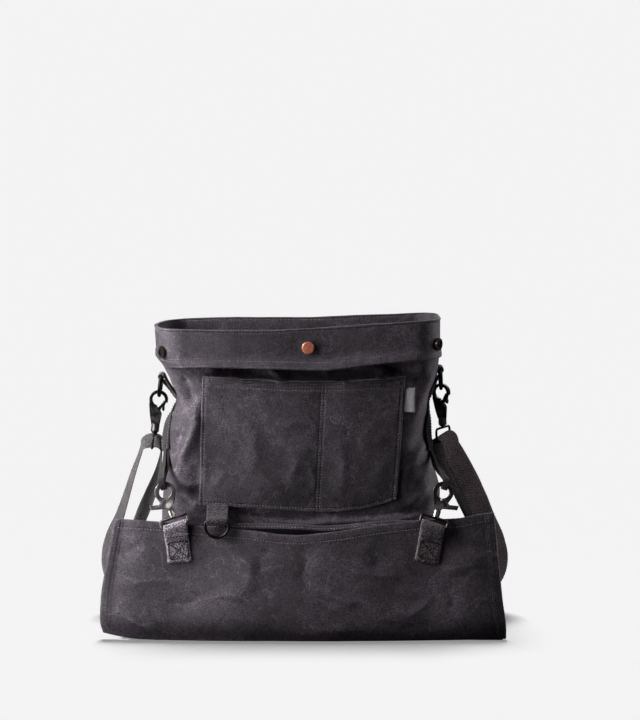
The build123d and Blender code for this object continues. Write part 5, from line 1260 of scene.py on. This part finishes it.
right_outer = [((154.2, -9, 180.5), (0.42, -0.88, 0.15)), ((164.6, -4, 161), (0.32, -0.93, 0.15)), ((177.5, 3.5, 134), (0.3, -0.93, 0.15)), ((187.5, 10, 109), (0.3, -0.93, 0.15)), ((198.5, 18, 85), (0.4, -0.9, 0.1)), ((204.5, 27, 65), (0.55, -0.83, 0)), ((206, 37, 45), (0.75, -0.62, -0.15)), ((203, 47.5, 28), (0.85, -0.25, -0.45)), ((194.5, 56.5, 13.5), (0.6, 0, -0.8)), ((180, 63, 5.6), (0.3, 0, -0.95)), ((162, SY, 2.0), (0.05, 0, -1)), ((140, SY, FZ), (0, 0, -1))]


def strap_end(inner, arch, outer, across):
    """Points and width directions of one doubled end, which hangs in a loose arch on its eye's bar."""
    rows = inner + arch + outer
    pts = [np.array(p, float) for p, _ in rows]
    res = []
    for i, (p, (_, n)) in enumerate(zip(pts, rows)):
        t = unit(pts[min(i + 1, len(pts) - 1)] - pts[max(i - 1, 0)])
        res.append((p, unit(np.array(across, float)) if n is None else unit(np.cross(np.array(n, float), t))))
    return res


over = [(13.0, FZ), (8.6, FZ), (2.6, 3.5), (-2.6, 3.5), (-8.6, FZ), (-13.0, FZ)]
y_dir = np.array([0.0, 1.0, 0.0])
stations = strap_end(left_inner, left_arch, left_outer, (0.0, 0.87, 0.5))
stations += [(np.array([-120.0 - d, SY, z]), y_dir) for d, z in over]
stations += [(np.array([x, SY, FZ]), y_dir) for x in (-60.0, 60.0)]
stations += [(np.array([120.0 - d, SY, z]), y_dir) for d, z in over]
stations += strap_end(right_inner, right_arch, right_outer, (0.66, 0.68, 0.31))[::-1]
strap, strap_p, strap_w, strap_n, strap_len = ribbon(
    "strap_webbing", [p for p, _ in stations], [w for _, w in stations], 24.0, 1.6, WEBBING, 2.0, 3, wave=0.0
)
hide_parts("carrying_strap")
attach(strap, "bag")

# flap hook frames
LOW = {}
for side_name, side in (("left", -1), ("right", 1)):
    fn = np.array([0, -CU, SU])
    bar_at = flap_xyz(side * 129.5, 117.5, 3.7)
    a, c = math.radians(17.5), math.radians(13.5)
    up = unit(np.array([side * math.sin(a), math.sin(c), math.cos(a) * math.cos(c)]))
    out = unit(np.cross(up, fn))
    LOW[side_name] = (bar_at, up, out, np.cross(out, up), side)

# flap tabs: webbing sewn to the flap, up round the eye's bar and down again to a short end
for side_name, (bar_at, up, out, nor, side) in LOW.items():
    fn = np.array([0, -CU, SU])
    tail = np.cross(out, fn)
    tail = tail if tail[2] < 0 else -tail
    across_n = unit(fn - out * (fn @ out))
    swing = math.radians(11.0 if side < 0 else 8.0) * side
    tail = unit(tail * math.cos(swing) + np.cross(fn, tail) * math.sin(swing))
    out_low = np.cross(fn, tail)
    out_low = out_low if out_low @ out > 0 else -out_low
    face_n = -3.5  # flap's face, measured from the bar

    def spot(n_off, down):
        return bar_at + across_n * n_off + tail * down

    r = 1.5 + 0.25 + 0.9
    path = [spot(face_n + 1.15, d) for d in (37.0, 31, 24, 17, 11)] + [spot(face_n + 1.3, 6.5), spot(-r * 0.9, 2.6)]
    widths = [out_low] * 5 + [unit(out_low + out), out]
    for a in (205, 170, 135, 100, 65, 30, 0):
        path.append(bar_at + across_n * (r * math.cos(math.radians(a))) - tail * (r * math.sin(math.radians(a))))
        widths.append(out)
    path += [spot(r * 0.92, 3.0), spot(face_n + 4.0, 7.5), spot(face_n + 3.2, 11.0), spot(face_n + 3.1, 14.0)]
    widths += [out, unit(out_low + out), out_low, out_low]
    # the left tab takes the lighter copy of the webbing: painted light
    tab, tp, tw, tn, _ = ribbon(f"tab_webbing_{side_name}", path, widths, 24.0, 1.8, PAINTED_LIGHT_TAB_WEB if side < 0 else TAB_WEB, 1.0, 20 + side, wave=0.3)
    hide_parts(f"flap_tab_{side_name}")
    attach(tab, "flap")

    def on_tab(a, d):
        a, d = np.asarray(a, float)[:, None], np.asarray(d, float)[:, None]
        rise = np.where(d > 14.5, 2.05, 4.15)
        p = bar_at + across_n * (face_n + rise) + tail * d + out_low * a
        return p, np.broadcast_to(across_n, p.shape)

    box = [(-9.4, 17.0), (9.4, 17.0), (9.4, 33.6), (-9.4, 33.6), (-9.4, 17.0)]
    for p0, p1 in zip(box[:4], box[1:5]):
        tab_thread.row(*on_tab(*straight(p0, p1, 20)), pitch=2.6, length=2.1, radius=0.72)
    tab_thread.row(*on_tab(*straight((-9.4, 17.0), (9.4, 33.6), 20)), pitch=2.6, length=2.1, radius=0.72)
    tab_thread.row(*on_tab(*straight((9.4, 17.0), (-9.4, 33.6), 20)), pitch=2.6, length=2.1, radius=0.72)
    tab_thread.row(*on_tab(*straight((-10.4, 11.6), (10.4, 11.6), 20)), pitch=2.6, length=2.1, radius=0.72)
    # frayed ends of the yarns at the cut edges
    rng = np.random.default_rng(40 + side)
    fb = Build()
    for k in range(64):
        a0 = rng.uniform(-11.6, 11.6)
        low = k < 40
        ln = rng.uniform(0.6, 2.0) * (1.0 if low else 0.6)
        p0 = bar_at + across_n * (face_n + (rng.uniform(0.5, 1.9) if low else rng.uniform(2.5, 3.8))) + tail * (36.4 if low else 13.6) + out_low * a0
        p1 = p0 + tail * ln + out_low * rng.uniform(-0.6, 0.6) + across_n * rng.uniform(-0.2, 0.5)
        ax = unit(p1 - p0)
        e1 = unit(np.cross(ax, across_n))
        e2 = np.cross(ax, e1)
        g = np.stack([[p0 + (p1 - p0) * t + (e1 * math.cos(w) + e2 * math.sin(w)) * rad for w in np.arange(5) * TAU / 5] for t, rad in ((0, 0.3), (0.6, 0.25), (1.0, 0.1))])
        fb.grid(g, np.zeros((3, 6, 2)), np.full((3, 5), 0.6), wrap_v=True)
    # the left tab's fray takes the lighter copy too: painted light
    fray = fb.done(f"tab_fray_{side_name}", PAINTED_LIGHT_TAB_WEB if side < 0 else TAB_WEB)
    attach(fray, "flap")

# side tabs: webbing folded through the D-rings and sewn to the body
SIDE = {"left": (-1, np.array([-147.0, -4.0, 260.6]), 21.0), "right": (1, np.array([139.5, -4.0, 268.0]), 16.5)}
for side_name, (side, bar_at, drop) in SIDE.items():
    foot_z = bar_at[2] - drop
    wall_p, wall_n = body_side(np.array([foot_z]), np.array([-4.0]), side)
    foot = wall_p[0] + np.array([side * 1.9, 0, 0])
    foot[1] = -4.0
    foot[2] = foot_z
    down = unit(foot - bar_at)
    outw = unit(np.cross(np.array([0, 1.0, 0]), down)) * side
    outw = outw if outw[0] * side > 0 else -outw
    r = 1.8 + 0.35 + 0.75
    length = np.linalg.norm(foot - bar_at)
    path = [foot - outw * 0.8, bar_at + down * (length * 0.7) - outw * 0.9, bar_at + down * 8 - outw * 1.4]
    for a in (180, 150, 120, 90, 60, 30, 0):
        path.append(bar_at + outw * (r * math.cos(math.radians(a))) - down * (r * math.sin(math.radians(a))))
    path += [bar_at + down * 8 + outw * 1.4, bar_at + down * (length * 0.7) + outw * 0.8, foot + outw * 0.8]
    tab, tp, tw, tn, _ = ribbon(f"side_tab_webbing_{side_name}", path, [y_dir] * len(path), 23.5, 1.5, TAB_WEB, 1.2, 30 + side, wave=0.1)
    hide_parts(f"side_tab_{side_name}")
    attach(tab, "bag")
    for d in (length - 3.0, length - 7.5):
        a = np.linspace(-9.5, 9.5, 24)[:, None]
        p = bar_at + down * d + outw * 1.7 + y_dir * a
        bag_thread.row(p, np.broadcast_to(outw, p.shape), pitch=2.6, length=2.1)

# strips that hang down the body's sides from the side tabs, and end in the loops that the flap hooks clip into
FOOT = {}
for side_name, (side, bar_at, drop) in SIDE.items():
    top = bar_at[2] - drop + 3.0
    zz = np.linspace(top, 187.0, 9)
    yy = (-9.0 if side < 0 else -20.0) - (17.0 if side < 0 else 8.0) * (top - zz) / (top - 187.0)
    wp, wn = body_side(zz, yy, side)
    wn[:, 2] = 0
    wn = unit(wn)
    turn = math.radians(30.0 if side < 0 else 8.0) * np.sin(np.pi * np.linspace(0.05, 0.92, 9)) ** 0.8  # the back edge stands off the body
    path = wp + wn * (1.2 + 4.2 * np.sin(turn))[:, None]
    across = unit(np.cross(wn, np.gradient(path, axis=0)))
    across *= np.sign(across[:, 1:2])
    across = unit(across * np.cos(turn)[:, None] + wn * np.sin(turn)[:, None])
    # the side strips take the near-black webbing: painted shade
    strip, sp, sw, sn, _ = ribbon(f"side_strip_{side_name}", list(path), list(across), 16.0, 2.2, PAINTED_SHADE_WEB, 1.6, 50 + side, wave=0.2)
    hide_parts(f"side_webbing_{side_name}")
    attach(strip, "bag")
    FOOT[side_name] = (sp[-1], unit(sp[-1] - sp[-3]), sw[-1], wn[-1])
    for a in (-6.2, 6.2):
        nn = sn if sn[len(sn) // 2, 0] * side > 0 else -sn
        bag_thread.row(sp + sw * a + nn * 1.2, nn, pitch=3.0)

for side_name, (bar_at, up, out, nor, side) in LOW.items():
    claw = bar_at + up * 38.2
    foot, down, foot_w, foot_n = FOOT[side_name]
    if foot_w @ out < 0:
        foot_w = -foot_w
    if foot_n @ nor < 0:
        foot_n = -foot_n
    end = claw + up * 9.0
    one_leg = []
    for t in (-0.16, 0.0, 0.22, 0.45, 0.68, 0.86, 1.0):
        if t <= 0:
            c = foot - down * (-t * 30)
        else:
            c = foot + (end - foot) * t + down * (9.0 * math.sin(math.pi * t) * (1 - t))
        k = float(smooth(0, 1, t))
        one_leg.append((c, unit(foot_n * (1 - k) + nor * k) * (1.0 + 4.6 * k), unit(foot_w * (1 - k) + out * k)))
    path = [c + o for c, o, _ in one_leg]
    widths = [w for _, _, w in one_leg]
    for h, o in ((4.6, 5.7), (1.7, 4.7), (0.3, 2.5), (0.0, 0.0), (0.3, -2.5), (1.7, -4.7), (4.6, -5.7)):
        path.append(claw + up * h + nor * o)
        widths.append(out)
    path += [c - o for c, o, _ in one_leg[::-1]]
    widths += [w for _, _, w in one_leg[::-1]]
    # the flap loops take the near-black webbing: painted shade
    web, lp, lw, ln_, _ = ribbon(f"flap_loop_webbing_{side_name}", path, widths, 6.6, 1.4, PAINTED_SHADE_WEB, 1.2, 60 + side, wave=0.1)
    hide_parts(f"flap_loop_{side_name}")
    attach(web, "bag")

# tool ring's tab
ring_at = np.array([-87.5, -77.5, 121.5])
foot = np.array([-87.5, -62.5, 137.0])
up_t = unit(foot - ring_at)
x_dir = np.array([1.0, 0, 0])
nrm_t = unit(np.cross(x_dir, up_t))
nrm_t = nrm_t if nrm_t[1] < 0 else -nrm_t
r = 1.6 + 0.35 + 0.7
wall_at = body_front_y(np.array([-87.5]), np.array([133.5]))[0]
foot = np.array([-87.5, wall_at - 1.8, 133.6])
up_t = unit(foot - ring_at)
nrm_t = unit(np.cross(x_dir, up_t))
nrm_t = nrm_t if nrm_t[2] > 0 else -nrm_t
length = np.linalg.norm(foot - ring_at)
end_front, end_back = foot + np.array([0, -0.4, 0.9]), foot + np.array([0, 0.4, -0.7])
path = [end_back, ring_at + up_t * (length * 0.6) - nrm_t * 0.8, ring_at + up_t * 6.0 - nrm_t * 1.2]
for a in (180, 150, 120, 90, 60, 30, 0):
    path.append(ring_at + nrm_t * (r * math.cos(math.radians(a))) - up_t * (r * math.sin(math.radians(a))))
path += [ring_at + up_t * 6.0 + nrm_t * 1.3, ring_at + up_t * (length * 0.6) + nrm_t * 0.8, end_front]
tool_web, tp, tw, tn, _ = ribbon("tool_tab_webbing", path, [x_dir] * len(path), 21.5, 1.5, TOOL_WEB, 1.0, 70, wave=0.15)
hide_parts("tool_ring_tab")
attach(tool_web, "bag")

# woven tag in the pocket's side seam: a folded bit of plain tape
tag_x = np.linspace(97.8, 111.6, 16)
tag_z = np.linspace(230, 254, 22)
gx, gz = np.meshgrid(tag_x, tag_z, indexing="ij")
gy = body_front_y(gx, gz) - 1.35 - 2.4 * smooth(102.5, 112, gx) + 0.35 * noise3(np.stack([gx, gz, gx * 0], -1), 9, 81)
tag_p = np.stack([gx, gy, gz], -1)
tag_n = grid_normals(tag_p)
if tag_n[..., 1].mean() > 0:
    tag_n = -tag_n
b = Build()
sheet_shell(b, tag_p, 1.0, normals=tag_n)


def plain_tape(name):
    mat, tree, shader = start(name, 0.75, specular=0.25)
    uv = put(tree, "ShaderNodeUVMap", uv_map="cloth").outputs[0]
    where = put(tree, "ShaderNodeTexCoord").outputs["Object"]
    cloth = weave_height(tree, uv, 0.0006, 0.0009)
    grain = put(tree, "ShaderNodeTexNoise", {"Vector": where, "Scale": 700.0, "Detail": 3.0}).outputs[0]
    patch = put(tree, "ShaderNodeTexNoise", {"Vector": where, "Scale": 120.0, "Detail": 4.0}).outputs[0]
    mixv = calc(tree, "ADD", calc(tree, "MULTIPLY", cloth, 0.28), calc(tree, "ADD", calc(tree, "MULTIPLY", grain, 0.4), calc(tree, "MULTIPLY", patch, 0.3)))
    tree.links.new(ramp(tree, mixv, [(0.2, srgb(108, 104, 107)), (0.5, srgb(158, 153, 156)), (0.85, srgb(192, 187, 190))]), shader.inputs["Base Color"])
    shader.inputs["Sheen Weight"].default_value = 0.2
    high = calc(tree, "ADD", cloth, calc(tree, "MULTIPLY", grain, 0.5))
    tree.links.new(put(tree, "ShaderNodeBump", {"Height": high, "Strength": 0.6, "Distance": 0.0003}).outputs[0], shader.inputs["Normal"])
    return mat


tag = b.done("woven_tape_tag", plain_tape("plain_tape"))
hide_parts("woven_tag")
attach(tag, "bag")

# ------------------------------------------------------------------------------- thread
sew_bag = bag_thread.build.done("stitching_bag", THREAD)
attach(sew_bag, "bag")
sew_flap = flap_thread.build.done("stitching_flap", THREAD)
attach(sew_flap, "flap")
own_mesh(sew_flap)
sew_tabs = tab_thread.build.done("stitching_tabs", TAB_THREAD)
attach(sew_tabs, "flap")

# ------------------------------------------------------------------------------- metal that is the model's own
for name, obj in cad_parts.items():
    if obj.hide_render:
        continue
    if name.startswith("closure_snap") and name.endswith("cap"):
        mat = COPPER
    elif "snap" in name:
        mat = ANTIQUE
    elif "spring" in name:
        mat = STEEL
    elif "flap_hook_rivet" in name and "left" in name:
        mat = RIVET
    elif "flap_hook" in name:
        # the right flap hook, its rivet too, takes the darker copy of the gunmetal: painted shade
        mat = PAINTED_SHADE_GUNMETAL if "right" in name else GUNMETAL
    else:
        mat = BLACK
    obj.data.materials.clear()
    obj.data.materials.append(mat)

# ------------------------------------------------------------------------------- stage, light, camera
LAMP = ((-0.17, 0.42, 2.7), (0.95, 0.56))  # over the floor, which alone it lights, for the bag's soft shadow
LAMP_SHARE = 0.62  # part of the floor's brightness
WORLD = 0.015


def lamp_turn():
    return (-Vector(LAMP[0])).to_track_quat("-Z", "Y")


def lamp_light(pts):
    """Light that the lamp throws on level ground at the given points in metres, for each watt."""
    turn = lamp_turn()
    ex, ey, ez = (np.array(turn @ Vector(v)) for v in ((1, 0, 0), (0, 1, 0), (0, 0, -1)))
    wide, deep = LAMP[1]
    t = (np.arange(14) + 0.5) / 14 - 0.5
    spots = np.array(LAMP[0]) + (t[:, None, None] * wide) * ex + (t[None, :, None] * deep) * ey
    to = pts[..., None, :] - spots.reshape(-1, 3)
    d2 = (to**2).sum(-1)
    d = np.sqrt(d2)
    return (1 / math.pi / t.size**2 * np.clip(-to[..., 2] / d, 0, None) * np.clip((to @ ez) / d, 0, None) / d2).sum(-1)


LAMP_POWER = LAMP_SHARE * math.pi / 0.8 / float(lamp_light(np.zeros(3)))


def backdrop():
    """A pale floor that turns up into a wall all round, so that every view has the same ground."""
    prof = [(r, 0.0) for r in (0.0, 0.1, 0.2, 0.3, 0.4, 0.5, 0.6, 0.7, 0.8, 0.9, 1.0, 1.1, 1.2, 1.3, 1.6, 2.0, 2.6, 3.4)]
    for a in np.linspace(0, math.pi / 2, 14)[1:]:
        prof.append((3.4 + 1.6 * math.sin(a), 1.6 - 1.6 * math.cos(a)))
    prof += [(5.0, 3.0), (5.0, 5.0), (4.6, 5.8), (3.0, 6.4), (0.02, 6.5)]
    b = Build()
    turns = np.arange(64) * TAU / 64
    g = np.array([[(max(r, 0.001) * 1000 * math.cos(a), max(r, 0.001) * 1000 * math.sin(a), z * 1000 - 0.2) for r, z in prof] for a in turns])
    reach = np.array([r for r, _ in prof])
    wall = np.broadcast_to(smooth(0.7, 1.25, reach), g.shape[:2])
    glow = 0.896 - 0.8 * (1 - wall) * (LAMP_POWER * lamp_light(g / 1000) / math.pi + WORLD)
    uv = np.stack([wall, 0 * wall], -1)
    b.grid(g, np.concatenate([uv, uv[:1]], 0) * 1000, glow, wrap_u=True)
    mat, tree, shader = start("paper_sweep", 0.9, specular=0.0)
    where = put(tree, "ShaderNodeTexCoord").outputs["Object"]
    fine = put(tree, "ShaderNodeTexNoise", {"Vector": where, "Scale": 60.0, "Detail": 3.0}).outputs[0]
    paper = ramp(tree, fine, [(0.3, (0.795, 0.795, 0.795)), (0.7, (0.805, 0.805, 0.805))])
    part = put(tree, "ShaderNodeSeparateXYZ", {0: put(tree, "ShaderNodeUVMap", uv_map="cloth").outputs[0]}).outputs[0]
    tree.links.new(tint(tree, "MIX", part, paper, (0.0, 0.0, 0.0)), shader.inputs["Base Color"])
    shader.inputs["Emission Color"].default_value = (1.0, 1.0, 1.0, 1)
    tree.links.new(put(tree, "ShaderNodeAttribute", attribute_name="pale").outputs["Fac"], shader.inputs["Emission Strength"])
    obj = b.done("paper_sweep", mat)
    obj.visible_diffuse = False
    obj.visible_glossy = False
    obj.visible_shadow = False
    return obj


sweep = backdrop()
only_floor = bpy.data.collections.new("floor_only")
only_floor.objects.link(sweep)
not_floor = bpy.data.collections.new("all_but_floor")
not_floor.objects.link(sweep)
not_floor.collection_objects[0].light_linking.link_state = "EXCLUDE"


metal_only = bpy.data.collections.new("metal_only")
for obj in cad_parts.values():
    if not obj.hide_render:
        metal_only.objects.link(obj)
strap_only = bpy.data.collections.new("strap_only")
strap_only.objects.link(strap)
cloth_only = bpy.data.collections.new("cloth_only")
for obj in (body, rim, pocket, flap, gusset):
    cloth_only.objects.link(obj)


def area_light(name, at, aim, size, power, lights, colour=(1, 1, 1)):
    data = bpy.data.lights.new(name, "AREA")
    data.shape, data.size, data.size_y = "RECTANGLE", size[0], size[1]
    data.energy, data.color = power, colour
    obj = bpy.data.objects.new(name, data)
    obj.location = at
    obj.rotation_euler = (Vector(aim) - Vector(at)).to_track_quat("-Z", "Y").to_euler()
    obj.light_linking.receiver_collection = lights
    obj.visible_camera = False
    scene.collection.objects.link(obj)


area_light("key", (-0.55, -0.16, 0.62), (-0.05, -0.05, 0.2), (0.3, 0.4), 4.4, not_floor, (1.0, 0.99, 0.995))
area_light("low", (-0.80, -0.25, 0.45), (-0.02, -0.06, 0.16), (0.32, 0.5), 3.0, not_floor)
area_light("near", (-0.36, -0.24, 0.20), (-0.12, -0.06, 0.12), (0.18, 0.3), 0.5, not_floor)
area_light("side", (-0.42, -0.12, 0.40), (-0.05, -0.05, 0.22), (0.12, 0.2), 0.65, not_floor)
area_light("foot", (-0.34, -0.20, 0.10), (-0.12, -0.06, 0.10), (0.12, 0.16), 0.22, not_floor)
area_light("front", (-0.25, -2.0, 1.1), (0, 0, 0.18), (1.2, 0.9), 0.2, not_floor)
area_light("right", (0.9, 0.25, 0.35), (0.12, -0.02, 0.17), (0.5, 0.6), 3.6, cloth_only, (1.0, 0.97, 1.0))
area_light("right_all", (0.95, -0.1, 0.45), (0.12, -0.02, 0.17), (0.4, 0.5), 1.5, not_floor, (1.0, 0.96, 0.97))
area_light("strap_right", (0.9, -0.7, 0.42), (0.17, 0, 0.14), (0.3, 0.4), 3.2, strap_only, (1.0, 0.86, 0.91))
area_light("glint", (-0.9, -0.8, 0.7), (0, 0, 0.18), (0.25, 0.35), 13.0, metal_only)
area_light("glint_right", (0.7, -1.0, 0.8), (0.1, 0, 0.18), (0.2, 0.3), 2.4, metal_only)
area_light("top", (0.0, 0.15, 1.9), (0, 0, 0.1), (1.2, 1.0), 0.8, not_floor)
area_light("back", (0.7, 1.7, 1.1), (0, 0, 0.18), (1.2, 1.0), 9.0, not_floor)
area_light("floor_lamp", LAMP[0], (0, 0, 0), LAMP[1], LAMP_POWER, only_floor)
world = bpy.data.worlds.new("studio")
world.use_nodes = True
world.node_tree.nodes["Background"].inputs[0].default_value = (1, 1, 1, 1)
world.node_tree.nodes["Background"].inputs[1].default_value = WORLD
scene.world = world

cam = bpy.data.cameras.new("camera")
cam.sensor_width = 36.0
cam.lens = 115.0
cam.clip_end = 50.0
eye = bpy.data.objects.new("camera", cam)
eye.location = (0.016, -2.3574, 0.5244)
eye.rotation_euler = (math.radians(84.0), 0, 0)
scene.collection.objects.link(eye)
scene.camera = eye
scene.view_settings.view_transform = "Standard"
scene.view_settings.look = "None"
